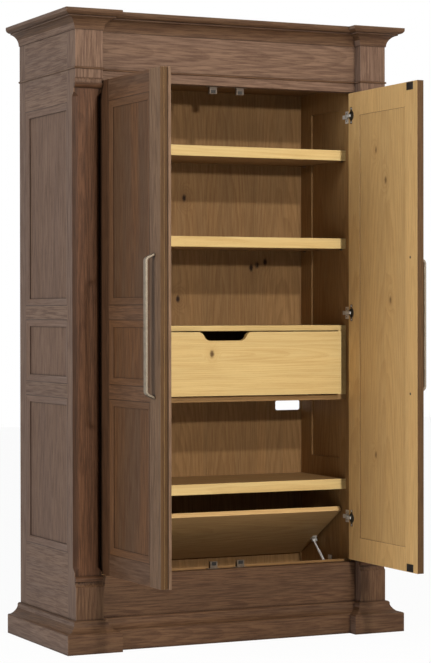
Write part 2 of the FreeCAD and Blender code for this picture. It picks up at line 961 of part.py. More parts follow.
def drawer_spacers():
    """Blocks that fill the width between the drawer and the lining."""
    up = (size.drawer_base_top, size.drawer_shelf_top - size.drawer_shelf_board)
    return group(
        "drawer_spacers",
        [
            board(
                f"{name}_drawer_spacer",
                (side * spacer_inside, side * half_opening),
                (size.shelf_front, back_front),
                up,
            )
            for name, side in SIDES.items()
        ],
    )


# ---------------------------------------------------------------------------
# Hinges and catches on the case
# ---------------------------------------------------------------------------


def hinge_arms():
    """Mounting plate, forked arm and pin of each concealed hinge."""
    arms = []
    half_arm = size.arm_height / 2
    for name, side in SIDES.items():
        for level_name, level in hinge_levels.items():
            label = f"{name}_{level_name}_arm"
            foot = half_opening - size.plate_thickness
            across = (side * (half_opening - size.arm_reach), side * foot)
            plate = board(
                f"{label}_plate",
                (side * foot, side * half_opening),
                (size.plate_front, size.arm_back),
                (level - size.plate_height / 2, level + size.plate_height / 2),
            )
            block = board(
                f"{label}_block", across, (size.arm_front, size.arm_back), (level - half_arm, level + half_arm)
            )
            cheeks = [
                board(
                    f"{label}_cheek_{number}",
                    across,
                    (size.plate_front, size.arm_front),
                    (level + half_arm * up, level + (half_arm - size.arm_cheek) * up),
                )
                for number, up in ((1, -1), (2, 1))
            ]
            upright = Rotation()
            pin = bar(
                f"{label}_pin", size.link_pin, size.arm_height, upright,
                side * pin_x, size.pin_ahead, level - half_arm,
            )
            arms.append(joined(label, [plate, block, *cheeks, pin]))
    return group("hinge_arms", arms)


def hinge_links(name, side):
    """The cranked links of one door's hinges, in the open pose."""
    half = size.link_thickness / 2
    height = size.arm_height - (size.arm_cheek + size.link_side_gap) * 2
    spine = [
        (side * pin_x, size.pin_ahead),
        (side * (half_opening - size.link_knee_off), size.link_knee_ahead),
        (side * (half_opening - size.link_tip_off), size.link_tip_ahead),
    ]
    outline = [(x - half, y) for x, y in spine] + [(x + half, y) for x, y in reversed(spine)]
    links = []
    for level_name, level in hinge_levels.items():
        label = f"{name}_{level_name}_link"
        foot = level - height / 2
        body = new_body(f"{label}_bar")
        pad(body, sketch_on(body, f"{label}_outline", "XY_Plane", [outline]), height)
        place(body, ZERO, ZERO, foot)
        eye = board(
            f"{label}_eye",
            (spine[0][0] - size.link_eye, spine[0][0] + size.link_eye),
            (size.pin_ahead - size.link_eye, size.pin_ahead + size.link_eye),
            (foot, foot + height),
        )
        bore = bar(f"{label}_bore", size.link_pin + size.link_pin_clearance, height, Rotation(), *spine[0], foot)
        links.append(cut(label, joined(f"{label}_blank", [body, eye]), [bore]))
    return group(f"{name}_hinge_links", links)


def catch_places():
    """Names, sides, mounting heights and directions of the four catches."""
    for level_name, (level, up) in magnet_levels.items():
        for name, side in SIDES.items():
            yield f"{level_name}_{name}", side * size.catch_offset, level, up


def catch_housings():
    """Eared housings of the magnets, on the bottom rail and under the header."""
    housings = []
    back = (size.catch_front, size.catch_front + size.catch_depth)
    for name, middle, level, up in catch_places():
        block = board(
            f"{name}_catch_block",
            (middle - size.catch_width / 2, middle + size.catch_width / 2),
            back,
            (level, level + size.catch_height * up),
        )
        ears = board(
            f"{name}_catch_ears",
            (middle - size.catch_ear_span / 2, middle + size.catch_ear_span / 2),
            back,
            (level, level + size.catch_ear * up),
        )
        room = size.magnet_gap
        half = size.magnet_width / 2 + room
        magnet_foot = level + (size.magnet_rise - room) * up
        magnet_head = level + (size.magnet_rise + size.magnet_height + room) * up
        socket = board(
            f"{name}_catch_socket",
            (middle - half, middle + half),
            (size.catch_front, size.magnet_front + size.magnet_depth + room * 4),
            (magnet_foot, magnet_head),
        )
        housings.append(cut(f"{name}_catch", joined(f"{name}_catch_body", [block, ears]), [socket]))
    return group("catch_housings", housings)


def magnets():
    """The floating magnets, one in each housing."""
    return [
        board(
            f"{name}_magnet",
            (middle - size.magnet_width / 2, middle + size.magnet_width / 2),
            (size.magnet_front, size.magnet_front + size.magnet_depth),
            (level + size.magnet_rise * up, level + (size.magnet_rise + size.magnet_height) * up),
        )
        for name, middle, level, up in catch_places()
    ]


# ---------------------------------------------------------------------------
# Doors, drawn about their own hinge axis and then swung open
# ---------------------------------------------------------------------------


def door_span(side, near, far):
    """Positions across a door from two distances off its hinge edge."""
    return ordered(-side * near, -side * far)


def on_door(label, members, side):
    """A group that stands on its hinge axis with the door open."""
    result = group(label, members)
    turn_about(result, Vector(0, 0, side), size.door_open)
    place(result, side * hinge_axis, size.centre_recess, ZERO)
    return result


def door_frame(name, side):
    """Outer frame of a door: two stiles and four rails."""
    depth = (ZERO, size.door_frame)
    upright = (door_foot, door_head)
    far = leaf_width - size.door_stile
    members = [
        board(f"{name}_hinge_stile", door_span(side, ZERO, size.door_stile), depth, upright),
        board(f"{name}_meeting_stile", door_span(side, far, leaf_width), depth, upright),
    ]
    for number, rail in enumerate(rail_spans(door_foot, door_head), start=1):
        members.append(board(f"{name}_rail_{number}", door_span(side, size.door_stile, far), depth, rail))
    return on_door(f"{name}_frame", members, side)


def door_panels(name, side):
    """The three panels of a door."""
    across = door_span(side, size.door_stile, leaf_width - size.door_stile)
    depth = (size.door_frame - size.door_panel, size.door_frame)
    panels = [board(f"{name}_panel_{n}", across, depth, span) for n, span in enumerate(panel_spans(), start=1)]
    return on_door(f"{name}_panels", panels, side)


def door_mouldings(name, side):
    """The mouldings round the panels of a door."""
    across = door_span(side, size.door_stile, leaf_width - size.door_stile)
    depth = size.door_frame - size.door_panel
    rings = []
    for number, (foot, head) in enumerate(panel_spans(), start=1):
        ring = panel_moulding(f"{name}_moulding_{number}", across[1] - across[0], head - foot, depth)
        ring.Placement = Placement(Vector(), Rotation(Vector(1, 0, 0), 90))
        place(ring, across[0], depth, foot)
        rings.append(ring)
    return on_door(f"{name}_mouldings", rings, side)


def door_lining(name, side):
    """Inner frame and panel of a door, bored for the hinge cups."""
    depth = (size.door_frame, leaf_thickness)
    far = leaf_width - size.door_stile
    blank = board(f"{name}_lining_blank", door_span(side, ZERO, size.door_stile), depth, (door_foot, door_head))
    bores = [
        bar(
            f"{name}_{level_name}_cup_hole",
            size.cup_radius,
            size.door_lining,
            ALONG_Y,
            -side * size.cup_inset,
            size.door_frame,
            level,
        )
        for level_name, level in hinge_levels.items()
    ]
    across = door_span(side, size.door_stile, far)
    low = door_foot + size.door_stile
    high = door_head - size.door_stile
    members = [
        cut(f"{name}_lining_hinge_stile", blank, bores),
        board(f"{name}_lining_meeting_stile", door_span(side, far, leaf_width), depth, (door_foot, door_head)),
        board(f"{name}_lining_low_rail", across, depth, (door_foot, low)),
        board(f"{name}_lining_top_rail", across, depth, (high, door_head)),
        board(f"{name}_lining_panel", across, (depth[0], depth[1] - size.door_panel_step), (low, high)),
    ]
    return on_door(f"{name}_lining", members, side)


def hinge_cups(name, side):
    """Cups of one door's hinges, each with a flange on the inner face."""
    cups = []
    middle = -side * size.cup_inset
    radius = size.cup_radius - size.cup_clearance
    for level_name, level in hinge_levels.items():
        label = f"{name}_{level_name}_cup"
        shell = bar(
            f"{label}_shell", radius, size.door_lining + size.cup_flange, ALONG_Y, middle, size.door_frame, level
        )
        flange = board(
            f"{label}_flange",
            (middle - size.cup_flange_width / 2, middle + size.cup_flange_width / 2),
            (leaf_thickness, leaf_thickness + size.cup_flange),
            (level - size.cup_flange_length / 2, level + size.cup_flange_length / 2),
        )
        hollow = bar(
            f"{label}_hollow",
            radius - size.cup_wall,
            size.door_lining + size.cup_flange - size.cup_floor,
            ALONG_Y,
            middle,
            size.door_frame + size.cup_floor,
            level,
        )
        cups.append(cut(label, joined(f"{label}_blank", [shell, flange]), [hollow]))
    return on_door(f"{name}_cups", cups, side)


def handle_side(offset):
    """Upper half of one long side of a handle, from the door out to the grip.

    The offset is how far the side lies outside the handle's middle line. It returns the
    side's two bend points and its foot as (out, height) and the radius of its bend.
    """
    leg = distance(size.handle_reach, size.handle_drop)
    run = size.handle_reach + offset
    foot = size.handle_spacing / 2 + offset * leg / size.handle_reach
    corner = foot - run * size.handle_drop / size.handle_reach
    radius = size.handle_bend + offset
    tangent = radius * (leg - size.handle_drop) / size.handle_reach
    on_grip = (-run, corner - tangent)
    on_leg = (tangent * size.handle_reach / leg - run, corner + tangent * size.handle_drop / leg)
    return on_grip, on_leg, (ZERO, foot), radius


def door_handle(name, side):
    """A flat bar handle whose ends slope back to the door."""
    half = size.handle_thickness / 2
    grip, leg, foot, radius = handle_side(half)
    inner_grip, inner_leg, inner_foot, inner_radius = handle_side(-half)

    def low(point):
        """The same point of the handle's lower half."""
        return point[0], -point[1]

    outline = [
        low(foot),
        (*low(leg), -radius),
        low(grip),
        (*grip, -radius),
        leg,
        foot,
        inner_foot,
        (*inner_leg, inner_radius),
        inner_grip,
        (*low(inner_grip), inner_radius),
        low(inner_leg),
        low(inner_foot),
    ]
    body = new_body(f"{name}_handle_bar")
    pad(body, sketch_on(body, f"{name}_handle_outline", "YZ_Plane", [outline]), size.handle_width)
    middle = -side * (leaf_width - size.handle_inset)
    place(body, middle - size.handle_width / 2, ZERO, size.handle_middle)
    return on_door(f"{name}_handle", [body], side)


def door_strikes(name, side):
    """The two strike plates that the magnets hold."""
    middle = -side * (hinge_axis - size.catch_offset)
    across = (middle - size.strike_width / 2, middle + size.strike_width / 2)
    depth = (leaf_thickness, leaf_thickness + size.strike_thickness)
    low = door_foot + size.strike_margin
    high = door_head - size.strike_margin
    plates = [
        board(f"{name}_lower_strike", across, depth, (low, low + size.strike_height)),
        board(f"{name}_upper_strike", across, depth, (high - size.strike_height, high)),
    ]
    return on_door(f"{name}_strikes", plates, side)


def closing_strip():
    """The strip on the left door that covers the gap behind the right door's edge."""
    body = new_body("closing_strip_bar")
    end = hinge_axis + size.strip_overlap
    start = end - size.strip_width
    face = leaf_thickness + size.strip_gap
    outline = [
        (start, leaf_thickness),
        (leaf_width, leaf_thickness),
        (leaf_width, face),
        (end, face),
        (end, face + size.strip_thickness),
        (start, face + size.strip_thickness),
    ]
    pad(body, sketch_on(body, "closing_strip_outline", "XY_Plane", [outline]), door_head - door_foot)
    place(body, ZERO, ZERO, door_foot)
    return on_door("closing_strip", [body], LEFT)


# ---------------------------------------------------------------------------
# Drawer, drawn from its own face and then slid out
# ---------------------------------------------------------------------------


def on_drawer(label, members):
    """A group that stands out of the case with the drawer."""
    result = group(label, members)
    place(result, ZERO, size.shelf_front - size.drawer_out, ZERO)
    return result


def drawer_front():
    """Drawer front with a hand cut-out in its upper edge."""
    run = (size.grip_top_width - size.grip_bottom_width) / 4
    drop = size.grip_depth / 2
    curve = (run * run + drop * drop) / size.grip_depth
    half_top = size.grip_top_width / 2
    half_bottom = size.grip_bottom_width / 2
    floor = drawer_head - size.grip_depth
    outline = [
        (-size.drawer_half_width, drawer_foot),
        (size.drawer_half_width, drawer_foot),
        (size.drawer_half_width, drawer_head),
        (half_top, drawer_head, curve),
        (half_bottom + run, floor + drop, -curve),
        (half_bottom, floor),
        (-half_bottom, floor, -curve),
        (-half_bottom - run, floor + drop, curve),
        (-half_top, drawer_head),
        (-size.drawer_half_width, drawer_head),
    ]
    body = new_body("drawer_front_board")
    pad(body, sketch_on(body, "drawer_front_outline", "XZ_Plane", [outline]), size.drawer_face, reverse=True)
    return on_drawer("drawer_front", [body])


def drawer_box():
    """Sides, back and bottom of the drawer."""
    start, end = size.drawer_face, size.drawer_face + drawer_box_depth
    side_foot = drawer_foot + size.drawer_side_rise
    side_head = side_foot + size.drawer_side_height
    bottom = side_foot + size.drawer_bottom_rise
    inside = (-drawer_inside, drawer_inside)
    members = [
        board(f"{name}_drawer_side", (side * drawer_inside, side * drawer_side), (start, end), (side_foot, side_head))
        for name, side in SIDES.items()
    ]
    members.append(board("drawer_bottom", inside, (start, end), (bottom, bottom + size.drawer_bottom)))
    members.append(
        board(
            "drawer_back",
            inside,
            (end - size.drawer_board, end),
            (bottom + size.drawer_bottom, side_head - size.drawer_back_drop),
        )
    )
    return on_drawer("drawer_box", members)


def runner_members(label, order, start):
    """The left and right runner members of one order, counted from the spacer."""
    outside = spacer_inside - (size.runner_member + size.runner_gap) * order
    half = (size.runner_height - size.runner_step * order) / 2
    return [
        board(
            f"{name}_{label}",
            (side * (outside - size.runner_member), side * outside),
            (start, start + runner_length),
            (size.runner_level - half, size.runner_level + half),
        )
        for name, side in SIDES.items()
    ]


# ---------------------------------------------------------------------------
# Chest lid, drawn about its own hinge axis and then raised
# ---------------------------------------------------------------------------


def on_lid(label, members):
    """A group that stands on the lid's hinge axis with the lid raised."""
    result = group(label, members)
    turn_about(result, Vector(-1, 0, 0), size.lid_raise)
    place(result, ZERO, lid_axis_y, lid_axis_z)
    return result


def lid():
    """The lid, its two front edges rounded."""
    body = new_body("lid_board")
    outline = rectangle(-lid_half, lid_half, lid_front, lid_back)
    pad(body, sketch_on(body, "lid_outline", "XY_Plane", [outline]), size.lid_thickness)
    round_front(body, size.lid_round, lid_front)
    place(body, ZERO, ZERO, lid_foot)
    return on_lid("lid", [body])


def hinge_middles():
    """Names and middles of the lid's two hinges."""
    for name, side in SIDES.items():
        yield name, side * size.lid_hinge_spacing / 2


def fixed_leaf(name, middle):
    """Leaf of a lid hinge on the back panel, with the middle knuckle."""
    half = size.lid_hinge_width / 2
    tab = size.lid_hinge_middle / 2
    depth = (back_front - size.lid_hinge_leaf, back_front)
    plate = board(
        f"{name}_fixed_plate",
        (middle - half, middle + half),
        depth,
        (lid_axis_z + knuckle_room, lid_axis_z + size.lid_hinge_length),
    )
    stem = board(
        f"{name}_fixed_stem", (middle - tab, middle + tab), depth, (lid_axis_z, lid_axis_z + knuckle_room)
    )
    start = middle - tab
    at = (lid_axis_y, lid_axis_z)
    knuckle = bar(f"{name}_fixed_knuckle", size.lid_knuckle, size.lid_hinge_middle, ALONG_X, start, *at)
    bore = bar(
        f"{name}_fixed_bore", size.lid_pin + size.lid_pin_clearance, size.lid_hinge_middle, ALONG_X, start, *at
    )
    return cut(f"{name}_fixed_leaf", joined(f"{name}_fixed_blank", [plate, stem, knuckle]), [bore])


def moving_leaf(name, middle):
    """Leaf of a lid hinge on the lid, with the outer knuckles and the pin."""
    half = size.lid_hinge_width / 2
    tab = size.lid_hinge_middle / 2 + size.lid_knuckle_gap
    up = (-size.lid_knuckle, size.lid_hinge_leaf - size.lid_knuckle)
    pieces = [
        board(f"{name}_moving_plate", (middle - half, middle + half), (-size.lid_hinge_length, -knuckle_room), up),
        bar(f"{name}_pin", size.lid_pin, size.lid_hinge_width, ALONG_X, middle - half, ZERO, ZERO),
    ]
    for number, (left, right) in enumerate(((-half, -tab), (tab, half)), start=1):
        pieces.append(
            board(f"{name}_moving_stem_{number}", (middle + left, middle + right), (-knuckle_room, ZERO), up)
        )
        pieces.append(
            bar(
                f"{name}_moving_knuckle_{number}", size.lid_knuckle, right - left, ALONG_X, middle + left, ZERO, ZERO
            )
        )
    return joined(f"{name}_moving_leaf", pieces)


def strut_fixings():
    """Wall plate and stud of the strut."""
    half = size.strut_plate_length / 2
    across = (half_opening - size.strut_plate, half_opening)
    plate_foot = size.strut_foot_height - size.strut_plate_height / 2
    plate = board(
        "strut_wall_plate",
        across,
        (size.strut_foot_back - half, size.strut_foot_back + half),
        (plate_foot, plate_foot + size.strut_plate_height + size.strut_plate_rise),
    )
    start = strut_x - size.strut_eye_width / 2
    stud = bar(
        "strut_wall_stud",
        size.strut_stud_radius,
        across[0] - start,
        ALONG_X,
        start,
        size.strut_foot_back,
        size.strut_foot_height,
    )
    return joined("strut_wall_fixing", [plate, stud])


def compartment_fittings():
    """Fixed hinge leaves, the strut's wall stud and the two angles the lid rests on."""
    members = [fixed_leaf(name, middle) for name, middle in hinge_middles()]
    members.append(strut_fixings())
    top = size.chest_rim - size.lid_thickness - size.rest_gap
    back = (size.rest_middle - size.rest_length / 2, size.rest_middle + size.rest_length / 2)
    for name, side in SIDES.items():
        wall = board(
            f"{name}_rest_wall_leg",
            (side * (half_opening - size.rest_sheet), side * half_opening),
            back,
            (top - size.rest_leg, top),
        )
        foot = board(
            f"{name}_rest_lid_leg",
            (side * (half_opening - size.rest_reach), side * half_opening),
            back,
            (top - size.rest_sheet, top),
        )
        members.append(joined(f"{name}_lid_rest", [wall, foot]))
    return group("compartment_fittings", members)


def lid_fittings():
    """Moving hinge leaves and the strut's bracket under the lid."""
    half = size.strut_plate_length / 2
    run = -strut_eye_run
    eye_end = strut_x + size.strut_eye_width / 2
    lug = (eye_end + size.strut_lug_gap, eye_end + size.strut_lug_gap + size.strut_lug)
    plate_foot = lid_foot - size.strut_plate
    plate = board(
        "strut_lid_plate",
        (strut_x - size.strut_eye_radius, lug[1]),
        (run - half, run + half),
        (plate_foot, lid_foot),
    )
    lug_board = board(
        "strut_lid_lug",
        lug,
        (run - size.strut_eye_radius, run + size.strut_eye_radius),
        (-size.strut_eye_drop - size.strut_eye_radius, plate_foot),
    )
    stud_start = eye_end + size.strut_clearance
    stud = bar(
        "strut_lid_stud", size.strut_stud_radius, lug[0] - stud_start, ALONG_X, stud_start, run, -size.strut_eye_drop
    )
    leaves = [moving_leaf(name, middle) for name, middle in hinge_middles()]
    return on_lid("lid_fittings", [*leaves, joined("strut_lid_bracket", [plate, lug_board, stud])])


def on_strut(label, member):
    """A group that stands on the strut's wall stud, sloped to the raised lid."""
    result = group(label, [member])
    turn_about(result, Vector(1, 0, 0), strut_slope)
    place(result, strut_x, size.strut_foot_back, size.strut_foot_height)
    return result


def turned_part(label, profile):
    """A round piece about the strut's length, from a loop of (radius, distance) corners."""
    body = new_body(label)
    sketch = sketch_on(body, f"{label}_outline", "XY_Plane", [profile])
    feature = body.newObject("PartDesign::Revolution", f"{label}_turned")
    feature.Profile = sketch
    feature.ReferenceAxis = (sketch, ["V_Axis"])
    feature.Angle = 360
    return body


def strut_eye(label, along):
    """The cross bar at one end of the strut."""
    return bar(label, size.strut_eye_radius, size.strut_eye_width, ALONG_X, -size.strut_eye_width / 2, along, ZERO)


def strut_cylinder():
    """Tube of the gas strut, with the eye that turns on the wall stud."""
    bore = size.strut_rod_radius + size.strut_clearance
    neck = size.strut_rod_radius
    tube = turned_part(
        "strut_tube",
        [
            (ZERO, size.strut_eye_radius / 2),
            (neck, size.strut_eye_radius / 2),
            (neck, size.strut_tube_start),
            (size.strut_tube_radius, size.strut_tube_start + size.strut_rod_neck),
            (size.strut_tube_radius, size.strut_tube_end),
            (bore, size.strut_tube_end),
            (bore, size.strut_bore_start),
            (ZERO, size.strut_bore_start),
        ],
    )
    hole = bar(
        "strut_eye_hole",
        size.strut_stud_radius + size.strut_clearance,
        size.strut_eye_width,
        ALONG_X,
        -size.strut_eye_width / 2,
        ZERO,
        ZERO,
    )
    body = joined("strut_tube_and_eye", [tube, strut_eye("strut_wall_eye", ZERO)])
    return on_strut("strut_cylinder", cut("strut_tube_drilled", body, [hole]))


def strut_rod():
    """Rod of the gas strut, with the eye beside the lid's stud."""
    start = size.strut_rod_start
    rod = turned_part(
        "strut_rod_shaft",
        [
            (ZERO, start),
            (size.strut_rod_radius, start),
            (size.strut_rod_radius, strut_length),
            (ZERO, strut_length),
        ],
    )
    return on_strut("strut_rod", joined("strut_rod_and_eye", [rod, strut_eye("strut_lid_eye", strut_length)]))


# ---------------------------------------------------------------------------
# The cabinet
# ---------------------------------------------------------------------------


def build_case():
    """Outside of the case."""
    return [
        corner_post("left_post", LEFT),
        corner_post("right_post", RIGHT),
        post_blocks(),
        side_frame("left", LEFT),
        side_frame("right", RIGHT),
        side_panels(),
        side_mouldings(),
        front_board("frieze_board", (size.centre_recess, frieze_back), (frieze_foot, case_top)),
        front_board("header_rail", (size.centre_recess, header_back), (opening_top, frieze_foot)),
        front_board("bottom_rail", (size.centre_recess, rail_back), (ZERO, size.rail_top)),
        astragal(),
        cornice(),
        base_moulding(),
        top_board(),
    ]


def build_inside():
    """Lining, shelves and chest of the case."""
    lined = (-lining_outside, lining_outside)
    opening = (-half_opening, half_opening)
    thick = size.shelf_thickness
    chest_floor_head = size.chest_floor_foot + size.chest_floor_board
    runner_start = size.shelf_front + size.runner_set_back
    ceiling_span = (ceiling_foot, ceiling_foot + size.ceiling_board)
    return [
        inner_side("left", LEFT),
        inner_side("right", RIGHT),
        back_panel(),
        board("ceiling_board", lined, (header_back, back_front), ceiling_span),
        shelf("upper_shelf", shelf_half, shelf_back, upper_shelf_top, thick),
        shelf("middle_shelf", shelf_half, shelf_back, middle_shelf_top, thick),
        shelf("drawer_shelf", half_opening, back_front, size.drawer_shelf_top, size.drawer_shelf_board),
        shelf("drawer_base_board", half_opening, back_front, size.drawer_base_top, size.drawer_base_board),
        shelf("bottom_shelf", half_opening, back_front, size.bottom_shelf_top, thick),
        shelf_pins(),
        drawer_spacers(),
        board("compartment_floor", opening, (chest_front, back_front), (size.chest_floor_foot, chest_floor_head)),
        board("compartment_front", opening, (rail_back, chest_front), (size.chest_floor_foot, size.chest_rim)),
        group("runner_fixed", runner_members("fixed_runner", 0, runner_start)),
    ]


def build_fittings():
    """Hinges, catches, the middle runners, the lid and its strut."""
    middle_start = size.shelf_front + size.runner_set_back - size.drawer_out / 2
    return [
        hinge_arms(),
        hinge_links("left", LEFT),
        hinge_links("right", RIGHT),
        catch_housings(),
        *magnets(),
        group("runner_middles", runner_members("middle_runner", 1, middle_start)),
        compartment_fittings(),
        lid(),
        lid_fittings(),
        strut_cylinder(),
        strut_rod(),
    ]


def build_moving_fronts():
    """Both doors and the drawer."""
    pieces = []
    for name, side in (("left_door", LEFT), ("right_door", RIGHT)):
        for builder in (
            door_frame, door_panels, door_mouldings, door_lining, hinge_cups, door_handle, door_strikes
        ):
            pieces.append(builder(name, side))
    pieces.append(closing_strip())
    pieces.append(drawer_front())
    pieces.append(drawer_box())
    pieces.append(on_drawer("runner_inner", runner_members("inner_runner", 2, size.runner_set_back)))
    return pieces


def check_document():
    """Stop if any object failed or has a faulty shape."""
    for item in doc.Objects:
        if "Invalid" in item.State or "Error" in item.State:
            raise RuntimeError(f"{item.Label}: {item.State}")
        shape = getattr(item, "Shape", None)
        if shape is None or item.isDerivedFrom("App::Plane") or item.isDerivedFrom("App::Line"):
            continue
        if item.isDerivedFrom("Part::Feature") and (shape.isNull() or not shape.isValid()):
            raise RuntimeError(f"{item.Label}: faulty shape")


nodes = build_case() + build_inside() + build_fittings() + build_moving_fronts()
doc.recompute()
check_document()
os.makedirs("parts", exist_ok=True)
for node in nodes:
    node.Shape.exportStep(f"parts/{node.Label}.step")
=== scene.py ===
"""Dresses a breakfront bonnetiere: a tall two-door oak cupboard with shelves, a drawer and a lidded blanket well.

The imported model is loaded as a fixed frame.  Each of its nodes is taken apart into its boards or fittings, every
board gets softened arrises and a grain direction of its own, and each finish is a procedural material.
All lengths are metres in the frame's own axes: +X to the right, +Y to the back, +Z up.
"""

import json
import logging
import math
import random
from collections.abc import Callable
from dataclasses import dataclass, field
from enum import Enum

import bmesh
import bpy
from mathutils import Matrix, Vector

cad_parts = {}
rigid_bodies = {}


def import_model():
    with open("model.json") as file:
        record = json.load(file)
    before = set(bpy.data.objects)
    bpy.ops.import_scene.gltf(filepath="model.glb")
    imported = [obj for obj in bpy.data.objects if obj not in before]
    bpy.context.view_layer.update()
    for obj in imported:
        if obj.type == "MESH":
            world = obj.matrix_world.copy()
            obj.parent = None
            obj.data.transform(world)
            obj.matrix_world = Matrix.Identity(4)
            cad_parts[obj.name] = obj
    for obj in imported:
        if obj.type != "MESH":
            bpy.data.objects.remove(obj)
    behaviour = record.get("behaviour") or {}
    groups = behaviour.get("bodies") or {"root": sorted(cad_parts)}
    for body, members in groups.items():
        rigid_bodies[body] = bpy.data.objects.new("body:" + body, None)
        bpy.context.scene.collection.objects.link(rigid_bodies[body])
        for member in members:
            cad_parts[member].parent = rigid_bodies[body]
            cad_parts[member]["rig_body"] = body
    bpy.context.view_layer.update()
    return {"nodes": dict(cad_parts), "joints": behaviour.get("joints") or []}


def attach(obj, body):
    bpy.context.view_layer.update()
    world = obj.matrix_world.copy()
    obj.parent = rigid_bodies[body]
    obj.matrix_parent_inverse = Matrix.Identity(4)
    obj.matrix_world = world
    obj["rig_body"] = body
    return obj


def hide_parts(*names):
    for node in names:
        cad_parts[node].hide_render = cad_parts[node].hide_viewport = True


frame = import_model()
log = logging.getLogger("bonnetiere")

MILLIMETRE = 0.001


# Shader recipes

Colour = tuple[float, float, float, float]
Paint = tuple[int, int, int]
Triple = tuple[float, float, float]
WHITE: Colour = (1.0, 1.0, 1.0, 1.0)


def srgb(red: float, green: float, blue: float) -> Colour:
    """Turns a colour as a paint chart gives it, 0 to 255, into the linear values that shaders use.

    Args:
        red: Red part, 0 to 255.
        green: Green part, 0 to 255.
        blue: Blue part, 0 to 255.

    Returns:
        Linear red, green and blue, and an alpha of 1.
    """
    def linear(part: float) -> float:
        """Undoes the display curve of one part."""
        share = part / 255.0
        return share / 12.92 if share <= 0.04045 else ((share + 0.055) / 1.055) ** 2.4

    return linear(red), linear(green), linear(blue), 1.0


class Recipe:
    """Writes one material or world step by step; every step returns the socket that the next one takes."""

    def __init__(self, owner: bpy.types.Material | bpy.types.World) -> None:
        """Starts an empty recipe.

        Args:
            owner: The material or world that is written.
        """
        self.owner = owner
        owner.use_nodes = True
        self.tree = owner.node_tree
        self.tree.nodes.clear()

    def node(self, kind: str, inputs: dict | None = None, **settings: object) -> bpy.types.Node:
        """Adds a node, sets its options and fills its inputs.

        Args:
            kind: The node's type name.
            inputs: Values or sockets by input name or number.
            **settings: Options of the node itself.

        Returns:
            The new node.
        """
        made = self.tree.nodes.new(kind)
        for option, value in settings.items():
            setattr(made, option, value)
        for name, value in (inputs or {}).items():
            if isinstance(value, bpy.types.NodeSocket):
                self.tree.links.new(value, made.inputs[name])
            else:
                made.inputs[name].default_value = value
        return made

    def attribute(self, name: str) -> bpy.types.Node:
        """Reads a value that the mesh carries, by its name."""
        return self.node("ShaderNodeAttribute", attribute_name=name)

    def math(self, operation: str, first: object, second: object = 0.0) -> object:
        """Does one sum, as Blender names it, on one or two numbers or sockets."""
        return self.node("ShaderNodeMath", {0: first, 1: second}, operation=operation).outputs[0]

    def times(self, first: object, second: object, plus: object | None = None) -> object:
        """Multiplies two numbers and may add a third.

        Args:
            first: First number or socket.
            second: Second number or socket.
            plus: What is added to the product.

        Returns:
            The result's socket.
        """
        if plus is None:
            return self.math("MULTIPLY", first, second)
        return self.node("ShaderNodeMath", {0: first, 1: second, 2: plus}, operation="MULTIPLY_ADD").outputs[0]

    def about(self, middle: float, value: object, spread: float) -> object:
        """Lets a number vary about its middle by a spread, as a noise from 0 to 1 does."""
        return self.times(value, spread, plus=middle - spread / 2)

    def vector(self, operation: str, first: object, second: object) -> object:
        """Does one sum, as Blender names it, on two vectors or sockets."""
        return self.node("ShaderNodeVectorMath", {0: first, 1: second}, operation=operation).outputs[0]

    def split(self, place: object) -> list[object]:
        """Takes a vector apart into its three numbers."""
        return list(self.node("ShaderNodeSeparateXYZ", {0: place}).outputs)

    def noise(self, place: object, scale: float | Triple, detail: float = 3.0, rough: float = 0.6) -> object:
        """Soft noise from 0 to 1 about 0.5.

        Args:
            place: Where the noise is read.
            scale: Cycles in a metre, the same every way or one number for each way.
            detail: Octaves of finer noise.
            rough: How much of the finer noise shows.

        Returns:
            The noise's socket.
        """
        if isinstance(scale, tuple):
            place, scale = self.vector("MULTIPLY", place, scale), 1.0
        inputs = {"Vector": place, "Scale": scale, "Detail": detail, "Roughness": rough}
        return self.node("ShaderNodeTexNoise", inputs, noise_dimensions="3D").outputs["Fac"]

    def between(self, value: object, low: float, high: float) -> object:
        """Eases from 0 where the value is low to 1 where it is high, and stays there."""
        inputs = {"Value": value, "From Min": low, "From Max": high, "To Min": 0.0, "To Max": 1.0}
        return self.node("ShaderNodeMapRange", inputs, interpolation_type="SMOOTHSTEP", clamp=True).outputs[0]

    def mix(self, share: object, first: object, second: object) -> object:
        """Blends two colours; the share is how much of the second shows, 0 to 1."""
        inputs = {0: share, 6: first, 7: second}
        return self.node("ShaderNodeMix", inputs, data_type="RGBA", clamp_factor=True).outputs[2]

    def stain(self, colour: object, mark: object, share: float, tint: Colour) -> object:
        """Lays a share of a tint on a colour where a mark from 0 to 1 lies."""
        return self.mix(self.times(mark, share), colour, tint)

    def brighten(self, colour: object, amount: object) -> object:
        """Multiplies a colour's brightness by an amount about 1."""
        return self.node("ShaderNodeHueSaturation", {"Color": colour, "Value": amount}).outputs[0]

    def bump(self, height: object, depth: float, strength: float = 1.0, under: object | None = None) -> object:
        """Turns a height into a bent normal.

        Args:
            height: Height from 0 to 1.
            depth: How deep that is, in metres.
            strength: How much of it shows.
            under: A bump that this one is laid on.

        Returns:
            The normal's socket.
        """
        inputs = {"Height": height, "Distance": depth, "Strength": strength}
        if under is not None:
            inputs["Normal"] = under
        return self.node("ShaderNodeBump", inputs).outputs[0]

    def in_view(self) -> object:
        """Tells the rays that show a thing, straight, in gloss or through glass, from those that only light it.

        Returns:
            A socket that is 1 for the first kind.
        """
        rays = self.node("ShaderNodeLightPath").outputs
        straight_or_gloss = self.math("MAXIMUM", rays["Is Camera Ray"], rays["Is Glossy Ray"])
        return self.math("MAXIMUM", straight_or_gloss, rays["Is Transmission Ray"])

    def finish(self, surface: dict) -> bpy.types.Material:
        """Ends the recipe with one surface shader, given its values or sockets by name."""
        shader = self.node("ShaderNodeBsdfPrincipled", surface)
        self.node("ShaderNodeOutputMaterial", {0: shader.outputs[0]})
        return self.owner


